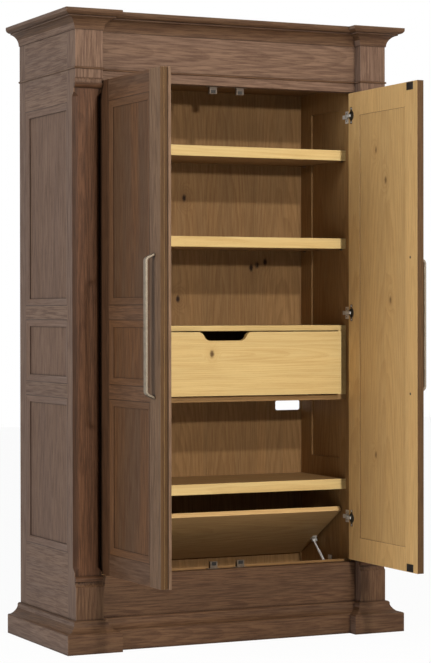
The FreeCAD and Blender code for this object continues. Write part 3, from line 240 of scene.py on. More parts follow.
class Slot(Enum):
    """The record's material slots that the finishes stand for."""

    STAINED_OAK = "stained_oak"
    LIGHT_OAK = "light_oak"
    HANDLE_METAL = "handle_metal"
    NICKEL = "nickel"
    BLACK_STEEL = "black_steel"
    CATCH_PLASTIC = "catch_plastic"
    MAGNET_STEEL = "magnet_steel"
    RUNNER_STEEL = "runner_steel"
    STRUT_CHROME = "strut_chrome"


@dataclass(frozen=True)
class StainedOak:
    """Sawn oak under a matt stain, with rings, fibres, pores, glued staves, knots and rubbed arrises, and with
    painted shade along its edges and in inner corners.
    """

    name: str
    light_wood: Colour
    ring_wood: Colour
    streak: Colour
    cloud: Colour
    pore: Colour
    worn: Colour
    knot: Colour
    slot: Slot = Slot.STAINED_OAK
    ring_pitch: float = 0.0065
    ring_share: float = 0.3
    streak_share: float = 0.64
    cloud_share: float = 0.5
    pore_share: float = 0.6
    worn_share: float = 0.3
    worn_width: float = 0.002
    knot_share: float = 0.0
    knot_places: tuple[Triple, ...] = ()
    tone_spread: float = 0.05
    stave_width: float = 0.0
    stave_spread: float = 0.8
    # Painted shade: a dark band along the board's edges, and darkening in inner corners.
    stain_reach: float = 0.0
    stain_share: float = 0.0
    corner_share: float = 0.8
    corner_shade_reach: float = 0.016
    roughness: float = 0.52
    sheen_level: float = 0.12
    relief: float = 0.00025
    cloud_scale: Triple = (1.0, 18.0, 18.0)
    band_scale: Triple = (10.0, 150.0, 150.0)
    fibre_scale: Triple = (7.0, 330.0, 330.0)
    dash_scale: Triple = (70.0, 1500.0, 1500.0)
    drift_scale: Triple = (1.1, 7.0, 7.0)
    wear_scale: Triple = (25.0, 90.0, 90.0)
    knot_scale: Triple = (1.6, 3.1, 2.2)

    @classmethod
    def mixed(cls, name: str, *paints: Paint, **settings: object) -> "StainedOak":
        """Mixes an oak from its name, its seven paints and the fields that are its own."""
        return cls(name, *(srgb(*paint) for paint in paints), **settings)

    def rings(self, recipe: Recipe, place: object, wobble: object) -> object:
        """Growth rings cut by the board's face, drawn out into long arches where the saw ran along the log.

        Args:
            recipe: The recipe that is written.
            place: Along, across and through the board.
            wobble: Slow sideways drift of the grain.

        Returns:
            A socket from 0 in pale wood to 1 in the dark line of a ring.
        """
        log_lean, side_drift, height_drift, crest = 0.035, 0.05, 0.03, 0.93
        along, across, through = recipe.split(place)
        aside = recipe.times(wobble, side_drift, plus=across)
        height = recipe.times(wobble, height_drift, plus=recipe.times(along, log_lean, plus=through))
        radius = recipe.math("SQRT", recipe.times(aside, aside, plus=recipe.times(height, height)))
        turn = recipe.math("FRACT", recipe.math("DIVIDE", radius, self.ring_pitch))
        return recipe.times(recipe.between(turn, 0.25, crest), recipe.between(turn, 1.0, crest))

    def knots(self, recipe: Recipe, place: object) -> tuple[object, object]:
        """Scattered knots, and those that have a place of their own.

        Args:
            recipe: The recipe that is written.
            place: Along, across and through the board.

        Returns:
            Sockets of the knots' dark core and of the bend of the grain round them, 0 to 1.
        """
        flat = recipe.vector("MULTIPLY", place, self.knot_scale)
        cells = recipe.node("ShaderNodeTexVoronoi", {"Vector": flat, "Scale": 1.0, "Randomness": 1.0})
        rarity, core_span, bend_span = (0.62, 0.64), (0.036, 0.012), (0.24, 0.0)
        chosen = recipe.between(recipe.split(cells.outputs["Color"])[0], *rarity)
        core, bend = (recipe.times(recipe.between(cells.outputs["Distance"], *span), chosen)
                      for span in (core_span, bend_span))
        if self.knot_places:
            core_reach, bend_reach, raggedness, rag_scale, upright_squash = 0.009, 0.04, 0.006, 160.0, 0.62
            spot = recipe.node("ShaderNodeTexCoord").outputs["Object"]
            ragged = recipe.noise(spot, rag_scale, rough=0.7)
            for centre in self.knot_places:
                away = recipe.vector("MULTIPLY", recipe.vector("SUBTRACT", spot, centre), (1.0, 1.0, upright_squash))
                reach = recipe.node("ShaderNodeVectorMath", {0: away}, operation="LENGTH").outputs["Value"]
                reach = recipe.times(ragged, -raggedness, plus=reach)
                core = recipe.math("MAXIMUM", core, recipe.between(reach, core_reach, 0.0))
                bend = recipe.math("MAXIMUM", bend, recipe.between(reach, bend_reach, 0.0))
        return core, bend

    def staves(self, recipe: Recipe, place: object, tone: object) -> tuple[object, object]:
        """Divides a wide board into glued staves, each with a grain and a tone of its own.

        Args:
            recipe: The recipe that is written.
            place: Along, across and through the board.
            tone: The board's tone.

        Returns:
            The place and the tone, shifted from stave to stave.
        """
        if not self.stave_width:
            return place, tone
        number = recipe.math("FLOOR", recipe.math("DIVIDE", recipe.split(place)[1], self.stave_width))
        stave = recipe.node("ShaderNodeTexWhiteNoise", {"W": number}, noise_dimensions="1D").outputs
        shift = recipe.vector("MULTIPLY", stave["Color"], (3.0, 0.0, 0.05))
        spread = recipe.about(0.0, stave["Value"], 2.0 * self.stave_spread)
        return recipe.vector("ADD", place, shift), recipe.math("ADD", tone, spread)

    def arris(self, recipe: Recipe) -> list[object]:
        """The distances along, across and through the board to its nearest ends and sides."""
        low, high = (recipe.attribute(name).outputs["Vector"] for name in ("from_low", "from_high"))
        return recipe.split(recipe.vector("MINIMUM", low, high))

    def painted_shade(self, recipe: Recipe, colour: object) -> object:
        """Darkens a colour with painted shade near the board's edges and in inner corners.

        Args:
            recipe: The recipe that is written.
            colour: The colour underneath.

        Returns:
            The colour's socket.
        """
        # Painted shade: a dark band along the board's edges, as the shadow line under mouldings and rails.
        if self.stain_share:
            along, across, _ = self.arris(recipe)
            nearest = recipe.math("MINIMUM", along, across)
            full_share = 0.4
            edge_shade = recipe.between(nearest, self.stain_reach, full_share * self.stain_reach)
            colour = recipe.stain(colour, edge_shade, self.stain_share, self.pore)
        # Painted shade: ambient occlusion darkens the colour in inner corners and hollows.
        if self.corner_share:
            hollow = recipe.node("ShaderNodeAmbientOcclusion", {"Distance": self.corner_shade_reach}, samples=6)
            open_face, tight_corner = 0.86, 0.42
            corner = recipe.between(hollow.outputs["AO"], open_face, tight_corner)
            colour = recipe.stain(colour, corner, self.corner_share, self.pore)
        return colour

    def rubbed(self, recipe: Recipe, place: object) -> object:
        """Wear that follows the board's arrises, broken up by the grain.

        Args:
            recipe: The recipe that is written.
            place: Along, across and through the board.

        Returns:
            A socket from 0 on the face to 1 on a rubbed arris.
        """
        along, across, through = self.arris(recipe)
        larger = recipe.math("MAXIMUM", along, across)
        edge = recipe.math("MAXIMUM", recipe.math("MINIMUM", along, across), recipe.math("MINIMUM", larger, through))
        raggedness = 1.6
        broken = recipe.math("SUBTRACT", recipe.noise(place, self.wear_scale), 0.5)
        reach = recipe.times(broken, raggedness * self.worn_width, plus=edge)
        return recipe.between(reach, self.worn_width, 0.0)

    def material(self) -> bpy.types.Material:
        """Writes the oak's material.

        Returns:
            The material.
        """
        dash_mark, cloud_mark, band_mark, fibre_mark = (0.60, 0.72), (0.36, 0.64), (0.42, 0.64), (0.45, 0.75)
        knot_pull, knot_halo, ring_pores, rubbed_gloss, fibre_rough = 0.6, 0.35, 0.7, 0.08, 0.18
        recipe = Recipe(bpy.data.materials.new(self.name))
        place, tone = self.staves(recipe, recipe.attribute("grain_place").outputs["Vector"],
                                  recipe.attribute("board_tone").outputs["Fac"])
        core, bend = self.knots(recipe, place)
        drift = recipe.math("SUBTRACT", recipe.noise(place, self.drift_scale, detail=2.0, rough=0.5), 0.5)
        wobble = recipe.math("ADD", drift, recipe.times(bend, knot_pull * min(1.0, self.knot_share)))
        ring = self.rings(recipe, place, wobble)
        fibre = recipe.noise(place, self.fibre_scale)
        band = recipe.noise(place, self.band_scale)
        dash = recipe.noise(place, self.dash_scale, detail=1.0, rough=0.5)
        pore = recipe.times(recipe.between(dash, *dash_mark), recipe.times(ring, ring_pores, plus=1.0 - ring_pores))
        cloud = recipe.between(recipe.noise(place, self.cloud_scale, rough=0.5), *cloud_mark)
        marks = [(cloud, self.cloud_share, self.cloud), (ring, self.ring_share, self.ring_wood),
                 (recipe.between(band, *band_mark), self.streak_share, self.streak),
                 (recipe.between(fibre, *fibre_mark), self.streak_share, self.streak),
                 (pore, self.pore_share, self.pore)]
        if self.knot_share:
            marks += [(bend, knot_halo * self.knot_share, self.streak), (core, self.knot_share, self.knot)]
        colour = self.light_wood
        for mark, share, tint in marks:
            colour = recipe.stain(colour, mark, share, tint)
        colour = recipe.brighten(colour, recipe.times(tone, self.tone_spread, plus=1.0))
        colour = self.painted_shade(recipe, colour)
        worn = self.rubbed(recipe, place)
        colour = recipe.stain(colour, worn, self.worn_share, self.worn)
        rough = recipe.times(worn, -rubbed_gloss, plus=recipe.about(self.roughness, fibre, fibre_rough))
        hollow = recipe.math("SUBTRACT", 1.0, recipe.math("MAXIMUM", ring, fibre))
        coarse = recipe.bump(hollow, self.relief, strength=0.6)
        fine = recipe.bump(recipe.math("SUBTRACT", 1.0, pore), self.relief, strength=0.5, under=coarse)
        return recipe.finish({"Base Color": colour, "Roughness": rough, "Normal": fine,
                              "Specular IOR Level": self.sheen_level})


@dataclass(frozen=True)
class LacqueredOak(StainedOak):
    """Pale oak under clear lacquer, in glued staves with knots."""

    slot: Slot = Slot.LIGHT_OAK
    streak_share: float = 0.4
    pore_share: float = 0.3
    worn_share: float = 0.2
    worn_width: float = 0.003
    knot_share: float = 0.6
    stave_width: float = 0.118
    stave_spread: float = 0.4
    corner_share: float = 0.0
    roughness: float = 0.55


@dataclass(frozen=True)
class MetalFinish:
    """A metal part with brushing or plating marks, smudges and fine scratches."""

    name: str
    slot: Slot
    colour: Colour
    tarnish: Colour
    roughness: float = 0.3
    metallic: float = 1.0
    brush: Triple = (60.0, 1800.0, 1800.0)
    brush_share: float = 0.22
    relief: float = 0.00002
    smudge_share: float = 0.4
    smudge_scale: float = 55.0
    smudge_mark: tuple[float, float] = (0.42, 0.68)
    smudge_rough: float = 0.1
    edge_share: float = 0.35

    def material(self) -> bpy.types.Material:
        """Writes the metal's material.

        Returns:
            The material.
        """
        recipe = Recipe(bpy.data.materials.new(self.name))
        place = recipe.attribute("grain_place").outputs["Vector"]
        brushing = recipe.noise(place, self.brush, detail=2.0)
        smudge = recipe.between(recipe.noise(place, self.smudge_scale, detail=4.0), *self.smudge_mark)
        colour = recipe.stain(self.colour, smudge, self.smudge_share, self.tarnish)
        colour = recipe.brighten(colour, recipe.about(1.0, brushing, self.brush_share))
        colour = recipe.stain(colour, recipe.attribute("soft_edge").outputs["Fac"], self.edge_share, self.colour)
        rough = recipe.times(smudge, self.smudge_rough, plus=recipe.about(self.roughness, brushing, self.brush_share))
        return recipe.finish({"Base Color": colour, "Metallic": self.metallic, "Roughness": rough,
                              "Normal": recipe.bump(brushing, self.relief, strength=0.7)})


@dataclass(frozen=True)
class MouldedFinish:
    """A moulded plastic or lacquered part with a fine grain and paler rubbed corners."""

    name: str
    slot: Slot
    colour: Colour
    rubbed: Colour
    roughness: float = 0.45
    relief: float = 0.00004
    grain_scale: float = 2600.0
    bloom_scale: float = 45.0
    bloom_mark: tuple[float, float] = (0.4, 0.8)
    edge_share: float = 0.6

    def material(self) -> bpy.types.Material:
        """Writes the plastic's material.

        Returns:
            The material.
        """
        recipe = Recipe(bpy.data.materials.new(self.name))
        place = recipe.attribute("grain_place").outputs["Vector"]
        grain = recipe.noise(place, self.grain_scale)
        bloom = recipe.between(recipe.noise(place, self.bloom_scale, rough=0.5), *self.bloom_mark)
        colour = recipe.mix(bloom, self.colour, self.rubbed)
        colour = recipe.stain(colour, recipe.attribute("soft_edge").outputs["Fac"], self.edge_share, self.rubbed)
        colour = recipe.brighten(colour, recipe.about(1.0, grain, 0.3))
        rough = recipe.about(self.roughness, grain, 0.2)
        return recipe.finish({"Base Color": colour, "Roughness": rough,
                              "Normal": recipe.bump(grain, self.relief, strength=0.6)})


class Finish(Enum):
    """Every finish on the cupboard.

    An oak has seven paints: light wood, ring wood, streak, cloud, pore, worn arris and knot; the pore paint is also
    the tint of its painted shade.
    """

    SIDE_OAK = StainedOak.mixed(
        "stained_oak_side", (126, 103, 87), (92, 70, 58), (84, 63, 52), (106, 89, 80), (48, 34, 26), (142, 118, 100),
        (46, 30, 20), ring_share=0.32, worn_width=0.0022, roughness=0.6)
    # Painted light: a paler copy of the case oak for the frieze, header and upper blocks, the top of the case lit
    # more than its foot.
    FRIEZE_OAK = StainedOak.mixed(
        "stained_oak_frieze", (119, 93, 74), (84, 61, 46), (77, 55, 42), (105, 82, 68), (40, 26, 19), (131, 105, 85),
        (37, 22, 15), ring_share=0.4, worn_width=0.0022, tone_spread=0.06, roughness=0.6)
    SIDE_PANEL_OAK = StainedOak.mixed(
        "stained_oak_side_panel", (121, 97, 81), (89, 67, 54), (84, 63, 50), (108, 87, 76), (41, 27, 21),
        (139, 113, 95), (44, 28, 20), ring_share=0.28, worn_share=0.0, worn_width=0.003, tone_spread=0.04,
        stain_reach=0.034, stain_share=0.55, roughness=0.6)
    SIDE_MOULDING_OAK = StainedOak.mixed(
        "stained_oak_side_moulding", (123, 99, 84), (92, 70, 58), (86, 66, 54), (110, 91, 81), (40, 27, 21),
        (144, 119, 103), (44, 28, 20), ring_share=0.2, streak_share=0.4, worn_share=0.0, worn_width=0.003,
        tone_spread=0.04, stain_reach=0.004, stain_share=0.6, roughness=0.58)
    CASE_OAK = StainedOak.mixed(
        "stained_oak_base", (96, 70, 49), (67, 44, 30), (60, 39, 26), (84, 63, 45), (34, 19, 13), (116, 86, 61),
        (34, 18, 11), ring_share=0.35, worn_share=0.35, worn_width=0.0022, tone_spread=0.06, roughness=0.56)
    # Its strong rubbed arrises draw a light line along the chamfers, partly wear and partly a painted highlight.
    POST_OAK = StainedOak.mixed(
        "stained_oak_post", (96, 64, 42), (62, 39, 23), (58, 36, 22), (83, 55, 37), (34, 21, 12), (135, 98, 67),
        (36, 21, 12), ring_share=0.35, worn_share=0.85, worn_width=0.003, stain_reach=0.018, stain_share=0.55,
        roughness=0.5)
    DOOR_OAK = StainedOak.mixed(
        "stained_oak_door", (109, 76, 51), (76, 50, 33), (70, 47, 31), (93, 71, 55), (38, 24, 14), (126, 92, 65),
        (38, 22, 13), cloud_share=0.8)
    DOOR_PANEL_OAK = StainedOak.mixed(
        "stained_oak_door_panel", (106, 72, 44), (75, 49, 28), (72, 45, 27), (88, 67, 49), (33, 18, 10),
        (126, 89, 59), (38, 21, 11), cloud_share=0.85, worn_share=0.0, worn_width=0.003, stain_reach=0.034,
        stain_share=0.6)
    DOOR_MOULDING_OAK = StainedOak.mixed(
        "stained_oak_door_moulding", (104, 71, 45), (75, 50, 31), (70, 46, 29), (90, 66, 48), (30, 17, 9),
        (132, 95, 65), (37, 21, 11), ring_share=0.2, streak_share=0.4, worn_share=0.0, worn_width=0.003,
        tone_spread=0.04, stain_reach=0.004, stain_share=0.65, roughness=0.5)
    # Painted shade and light: the hinge stile finish is a darker copy of the door oak, as in the post's shade, and
    # the free stile finish a paler copy, as in full light.
    SHADED_HINGE_STILE_OAK = StainedOak.mixed(
        "shaded_oak_hinge_stile", (89, 60, 40), (59, 38, 23), (54, 34, 21), (75, 53, 36), (32, 20, 11),
        (114, 83, 57), (33, 20, 11), worn_share=0.35, tone_spread=0.04)
    LIT_FREE_STILE_OAK = StainedOak.mixed(
        "lit_oak_free_stile", (123, 96, 73), (91, 67, 50), (83, 62, 44), (106, 84, 68), (44, 29, 22),
        (137, 108, 85), (41, 26, 18), cloud_share=0.6, tone_spread=0.04)
    RIM_OAK = StainedOak.mixed(
        "stained_oak_rim", (86, 61, 35), (63, 42, 23), (58, 39, 21), (78, 55, 33), (31, 19, 9), (109, 83, 52),
        (31, 18, 9), ring_share=0.25, streak_share=0.45, worn_width=0.0015, tone_spread=0.03, corner_share=0.0)
    LIGHT_OAK = LacqueredOak.mixed(
        "light_oak_lacquered", (206, 178, 121), (182, 147, 90), (180, 147, 92), (194, 171, 119), (146, 108, 63),
        (212, 188, 138), (76, 50, 27), cloud_share=0.45, worn_share=0.25, knot_share=0.9, tone_spread=0.04,
        stave_width=0.0, band_scale=(2.6, 60.0, 60.0), knot_places=((-0.054, 0.082, 1.017),), roughness=0.5)
    # Painted shade: darker copies of the light oak for the boards inside the case, the shelves' faces and the lid, as
    # they stand in shade.
    SHADED_INSIDE_OAK = LacqueredOak.mixed(
        "shaded_light_oak_staves", (140, 107, 69), (109, 78, 44), (108, 78, 46), (126, 99, 67), (77, 51, 27), (152, 121, 83),
        (40, 23, 11), ring_share=0.34, knot_share=1.0, tone_spread=0.06, stave_spread=0.5,
        knot_places=((0.013, 0.466, 1.593), (-0.013, 0.466, 1.216), (0.317, 0.466, 1.345), (0.351, 0.466, 1.357),
                     (0.292, 0.466, 1.334)))
    SHADED_SIDE_LINING_OAK = LacqueredOak.mixed(
        "shaded_light_oak_side_lining", (161, 125, 80), (125, 92, 52), (124, 92, 54), (145, 116, 78), (89, 61, 32),
        (174, 141, 96), (47, 29, 14), ring_share=0.34, knot_share=1.0, tone_spread=0.06, stave_spread=0.5)
    SHADED_SHELF_OAK = LacqueredOak.mixed(
        "shaded_light_oak_shelf_faces", (150, 116, 74), (120, 88, 52), (118, 88, 54), (138, 110, 74), (86, 60, 34),
        (170, 138, 94), (50, 31, 17), worn_share=0.0)
    SHADED_LID_OAK = LacqueredOak.mixed(
        "shaded_light_oak_lid", (172, 138, 92), (138, 104, 64), (138, 106, 68), (158, 128, 88), (96, 68, 40),
        (190, 158, 112), (56, 35, 20))
    DOOR_LINING_OAK = LacqueredOak.mixed(
        "light_oak_door_lining", (213, 176, 119), (179, 138, 85), (181, 142, 91), (197, 165, 115), (135, 99, 58),
        (226, 190, 138), (89, 59, 34), streak_share=0.35, cloud_share=0.45, worn_share=0.25, knot_share=0.7,
        knot_places=((0.474, -0.162, 1.743), (0.474, -0.233, 1.632), (0.474, -0.16, 0.656), (0.474, -0.267, 1.208)))
    HANDLE_METAL = MetalFinish(
        "brushed_champagne", Slot.HANDLE_METAL, srgb(137, 125, 109), srgb(108, 97, 83), roughness=0.4)
    # Painted reflection: metallic is kept low so the pale colour shows as diffuse and the plate stays bright in the
    # dark inside.
    NICKEL = MetalFinish(
        "nickel_plate", Slot.NICKEL, srgb(223, 221, 215), srgb(167, 163, 155), roughness=0.3, metallic=0.35)
    CUP_NICKEL = MetalFinish(
        "nickel_cup", Slot.NICKEL, srgb(128, 122, 112), srgb(84, 78, 70), roughness=0.34)
    MAGNET_STEEL = MetalFinish(
        "magnet_plates", Slot.MAGNET_STEEL, srgb(52, 49, 46), srgb(30, 28, 27), roughness=0.42)
    RUNNER_STEEL = MetalFinish(
        "zinc_plate", Slot.RUNNER_STEEL, srgb(188, 190, 192), srgb(140, 142, 146), roughness=0.36)
    # Painted reflection: metallic is kept low so the pale colour shows as diffuse and the rod reads light grey in the
    # dark inside.
    STRUT_CHROME = MetalFinish(
        "polished_rod", Slot.STRUT_CHROME, srgb(226, 226, 224), srgb(190, 190, 190), roughness=0.26, metallic=0.4)
    BLACK_STEEL = MouldedFinish(
        "black_strike", Slot.BLACK_STEEL, srgb(20, 19, 18), srgb(46, 44, 42), roughness=0.42)
    CATCH_PLASTIC = MouldedFinish(
        "catch_plastic", Slot.CATCH_PLASTIC, srgb(79, 64, 48), srgb(99, 83, 66), roughness=0.46)


class Paintbox:
    """Makes each finish's material once, when it is first asked for."""

    def __init__(self) -> None:
        """Starts with no material made."""
        self.made: dict[Finish, bpy.types.Material] = {}

    def material(self, finish: Finish) -> bpy.types.Material:
        """The material of a finish."""
        if finish not in self.made:
            self.made[finish] = finish.value.material()
        return self.made[finish]


# Boards and fittings, taken from the frame's nodes

class Where(Enum):
    """The faces of a board that take its second finish."""

    NARROW = "the narrow faces round a board"
    SIDEWAYS = "the faces that look left or right"


@dataclass(frozen=True)
class SecondFinish:
    """Another finish on some of a board's faces."""

    finish: Finish
    where: Where = Where.NARROW


class Grain(Enum):
    """Which way the wood runs in a board."""

    LENGTHWISE = "along the longest side"
    UPRIGHT = "up the piece, whatever its shape"
    LEVEL = "across the piece, whatever its shape"
    WRAPPED = "along a level moulding, also round its returns"
    MITRED = "round a frame of mitred strips"


@dataclass(frozen=True)
class EdgeSoftness:
    """How far sharp corners are rubbed down."""

    width: float = 0.9 * MILLIMETRE
    segments: int = 2
    sharp_turn: float = math.radians(28)


WOOD_EDGE = EdgeSoftness()
FINE_EDGE = EdgeSoftness(width=0.35 * MILLIMETRE)
ROUND_EDGE = EdgeSoftness(width=1.6 * MILLIMETRE, segments=3)
NO_EDGE = EdgeSoftness(width=0.0)
Solid = bmesh.types.BMesh
FLAT_TURN = math.radians(0.6)
WELD = 1e-6
FACE_ON = 0.9
BOARD_IN_LOG = ((-4.0, 4.0), (-0.05, 0.05), (0.03, 0.1))


def closed_turn(body: str) -> Matrix:
    """The turn that brings a body's pieces from how they stand to the cupboard's own square axes.

    Args:
        body: A body's name.

    Returns:
        A rotation; it is none for bodies that stand square.
    """
    for joint in frame["joints"]:
        if joint["child"] == body and joint["type"] == "hinge":
            furthest = max(joint["range_deg"], key=abs)
            return Matrix.Rotation(math.radians(furthest), 3, Vector(joint["axis"]))
    return Matrix.Identity(3)


def corner_key(place: Vector) -> tuple[int, ...]:
    """A corner's place, rounded so that corners that coincide match."""
    return tuple(round(part / WELD) for part in place)


def solids_of(mesh: bpy.types.Mesh) -> list[list[tuple[int, ...]]]:
    """Splits a node's triangles into its closed solids, in the order in which they are stored.

    A solid ends where every edge met so far has its partner, so boards that touch stay apart.

    Args:
        mesh: The node's mesh.

    Returns:
        For each solid, its triangles as corner numbers of the mesh.
    """
    solids, current, open_edges = [], [], set()
    for polygon in mesh.polygons:
        corners = tuple(polygon.vertices)
        current.append(corners)
        spots = [corner_key(mesh.vertices[number].co) for number in corners]
        for start, end in zip(spots, spots[1:] + spots[:1]):
            if (end, start) in open_edges:
                open_edges.discard((end, start))
            else:
                open_edges.add((start, end))
        if not open_edges:
            solids.append(current)
            current = []
    if current:
        solids.append(current)
    return solids


@dataclass
class Board:
    """One solid of a node while it is being dressed."""

    mesh: bpy.types.Mesh | None
    triangles: list[tuple[int, ...]]
    turn: Matrix
    grain: Grain
    edge: EdgeSoftness
    dice: random.Random
    material: int = 0
    second_material: int = 0
    where: Where | None = None
    shape: Solid = field(default_factory=bmesh.new)

    def weld(self) -> None:
        """Builds the solid with shared corners and joins its flat triangles into whole faces."""
        corners: dict[tuple[int, ...], bmesh.types.BMVert] = {}
        for triangle in self.triangles:
            face_corners = []
            for number in triangle:
                place = self.mesh.vertices[number].co
                key = corner_key(place)
                if key not in corners:
                    corners[key] = self.shape.verts.new(place)
                face_corners.append(corners[key])
            if len(set(face_corners)) == len(face_corners):
                try:
                    self.shape.faces.new(face_corners)
                except ValueError:
                    log.debug("a doubled face in %s is left out", self.mesh.name)
        bmesh.ops.dissolve_limit(self.shape, angle_limit=FLAT_TURN, verts=self.shape.verts[:],
                                 edges=self.shape.edges[:], use_dissolve_boundaries=False)

    def soften(self) -> set[bmesh.types.BMFace]:
        """Rubs the sharp corners down.

        Returns:
            The narrow faces that the softening made.
        """
        if not self.edge.width:
            return set()
        sharp = [edge for edge in self.shape.edges
                 if len(edge.link_faces) == 2 and edge.calc_face_angle(0.0) > self.edge.sharp_turn]
        if not sharp:
            return set()
        made = bmesh.ops.bevel(self.shape, geom=sharp, offset=self.edge.width, offset_type="OFFSET",
                               segments=self.edge.segments, profile=0.5, affect="EDGES", clamp_overlap=True)
        return set(made["faces"])

    def shade(self, softened: set[bmesh.types.BMFace]) -> None:
        """Shades curved stretches smoothly and keeps flat faces flat.

        Args:
            softened: The narrow faces along the rubbed corners.
        """
        for face in self.shape.faces:
            face.smooth = True
        for edge in self.shape.edges:
            faces = edge.link_faces
            if len(faces) != 2:
                edge.smooth = False
                continue
            worked = [face in softened for face in faces]
            if all(worked):
                edge.smooth = True
            elif any(worked):
                edge.smooth = False
            else:
                edge.smooth = edge.calc_face_angle(0.0) < self.edge.sharp_turn

    def axes(self, face: bmesh.types.BMFace, low: Vector, high: Vector) -> tuple[int, int, int]:
        """Finds which way along, across and through the wood run at a face.

        Args:
            face: The face.
            low: The solid's lowest corner in square axes.
            high: Its highest corner.

        Returns:
            The numbers of the three axes.
        """
        size = high - low
        order = sorted(range(3), key=lambda axis: size[axis])
        if self.grain is Grain.LENGTHWISE:
            return order[2], order[1], order[0]
        if self.grain is Grain.UPRIGHT:
            return (2, 0, 1) if size[0] > size[1] else (2, 1, 0)
        if self.grain is Grain.LEVEL:
            return (0, 2, 1) if size[0] > size[1] else (1, 2, 0)
        normal = self.turn @ face.normal
        if self.grain is Grain.WRAPPED:
            return (1, 2, 0) if abs(normal[0]) > abs(normal[1]) else (0, 2, 1)
        middle = self.turn @ face.calc_center_median() - (low + high) / 2
        flat = 0 if size[0] > size[1] else 1
        level = size[2] / 2 - abs(middle[2]) < size[flat] / 2 - abs(middle[flat])
        return (flat, 2, 1 - flat) if level else (2, flat, 1 - flat)

    def mark(self, softened: set[bmesh.types.BMFace]) -> None:
        """Writes the grain's direction, the board's tone and its distances to the arrises into the mesh.

        Args:
            softened: The narrow faces along the rubbed corners.
        """
        layers = self.shape.loops.layers
        place_layer, low_layer, high_layer = (layers.float_vector.new(name)
                                              for name in ("grain_place", "from_low", "from_high"))
        tone_layer, edge_layer = layers.float.new("board_tone"), layers.float.new("soft_edge")
        square = [self.turn @ vertex.co for vertex in self.shape.verts]
        low = Vector([min(place[axis] for place in square) for axis in range(3)])
        high = Vector([max(place[axis] for place in square) for axis in range(3)])
        shift = Vector([self.dice.uniform(*reach) for reach in BOARD_IN_LOG])
        tone = self.dice.uniform(-1, 1)
        middle = (low + high) / 2
        thin = min(range(3), key=lambda axis: high[axis] - low[axis])
        for face in self.shape.faces:
            order = self.axes(face, low, high)
            edge = 1.0 if face in softened else 0.0
            face.material_index = self.material
            normal = self.turn @ face.normal
            narrow = self.where is Where.NARROW and abs(normal[thin]) < FACE_ON
            if narrow or self.where is Where.SIDEWAYS and abs(normal[0]) > FACE_ON:
                face.material_index = self.second_material
            for corner in face.loops:
                place = self.turn @ corner.vert.co
                own = Vector([place[axis] - middle[axis] for axis in order])
                corner[place_layer] = own + shift
                corner[low_layer] = Vector([place[axis] - low[axis] for axis in order])
                corner[high_layer] = Vector([high[axis] - place[axis] for axis in order])
                corner[tone_layer] = tone
                corner[edge_layer] = edge

    def dress(self) -> Solid:
        """Does all the steps on the solid, which is built first if it comes as triangles.

        Returns:
            The finished shape.
        """
        if self.triangles:
            self.weld()
        softened = self.soften()
        self.shade(softened)
        self.mark(softened)
        return self.shape


def stand(name: str, data: bpy.types.ID) -> bpy.types.Object:
    """Makes an object of a mesh, a lamp or a camera and stands it in the scene."""
    made = bpy.data.objects.new(name, data)
    bpy.context.scene.collection.objects.link(made)
    return made


def turned(profile: list[tuple[float, float]], place: Vector, axis: Vector, sides: int = 20) -> Solid:
    """Turns a closed profile round an axis, as on a lathe.

    Args:
        profile: Radius and height of each point, from the axis at the top, over the rim, to the axis at the foot.
        place: Where the height is 0.
        axis: The way the height runs.
        sides: How many steps a turn has.

    Returns:
        The shape.
    """
    shape = bmesh.new()
    lean = Vector((0, 0, 1)).rotation_difference(axis).to_matrix()
    rings = []
    for radius, height in profile:
        count = sides if radius else 1
        angles = [2 * math.pi * step / sides for step in range(count)]
        spots = [Vector((radius * math.cos(angle), radius * math.sin(angle), height)) for angle in angles]
        rings.append([shape.verts.new(place + lean @ spot) for spot in spots])
    for upper, lower in zip(rings, rings[1:]):
        for step in range(sides):
            after = (step + 1) % sides
            corners = [upper[step % len(upper)], lower[step % len(lower)],
                       lower[after % len(lower)], upper[after % len(upper)]]
            shape.faces.new(list(dict.fromkeys(corners)))
    bmesh.ops.recalc_face_normals(shape, faces=shape.faces[:])
    return shape


def drawn_out(outline: list[tuple[float, float]], start: float, end: float) -> Solid:
    """Draws an outline in Y and Z out along X.

    Args:
        outline: The outline's corners.
        start: Where it starts in X.
        end: Where it ends in X.

    Returns:
        The shape.
    """
    shape = bmesh.new()
    near = [shape.verts.new((start, depth, height)) for depth, height in outline]
    far = [shape.verts.new((end, depth, height)) for depth, height in outline]
    shape.faces.new(near)
    shape.faces.new(list(reversed(far)))
    for step in range(len(outline)):
        after = (step + 1) % len(outline)
        shape.faces.new((near[step], far[step], far[after], near[after]))
    bmesh.ops.recalc_face_normals(shape, faces=shape.faces[:])
    return shape


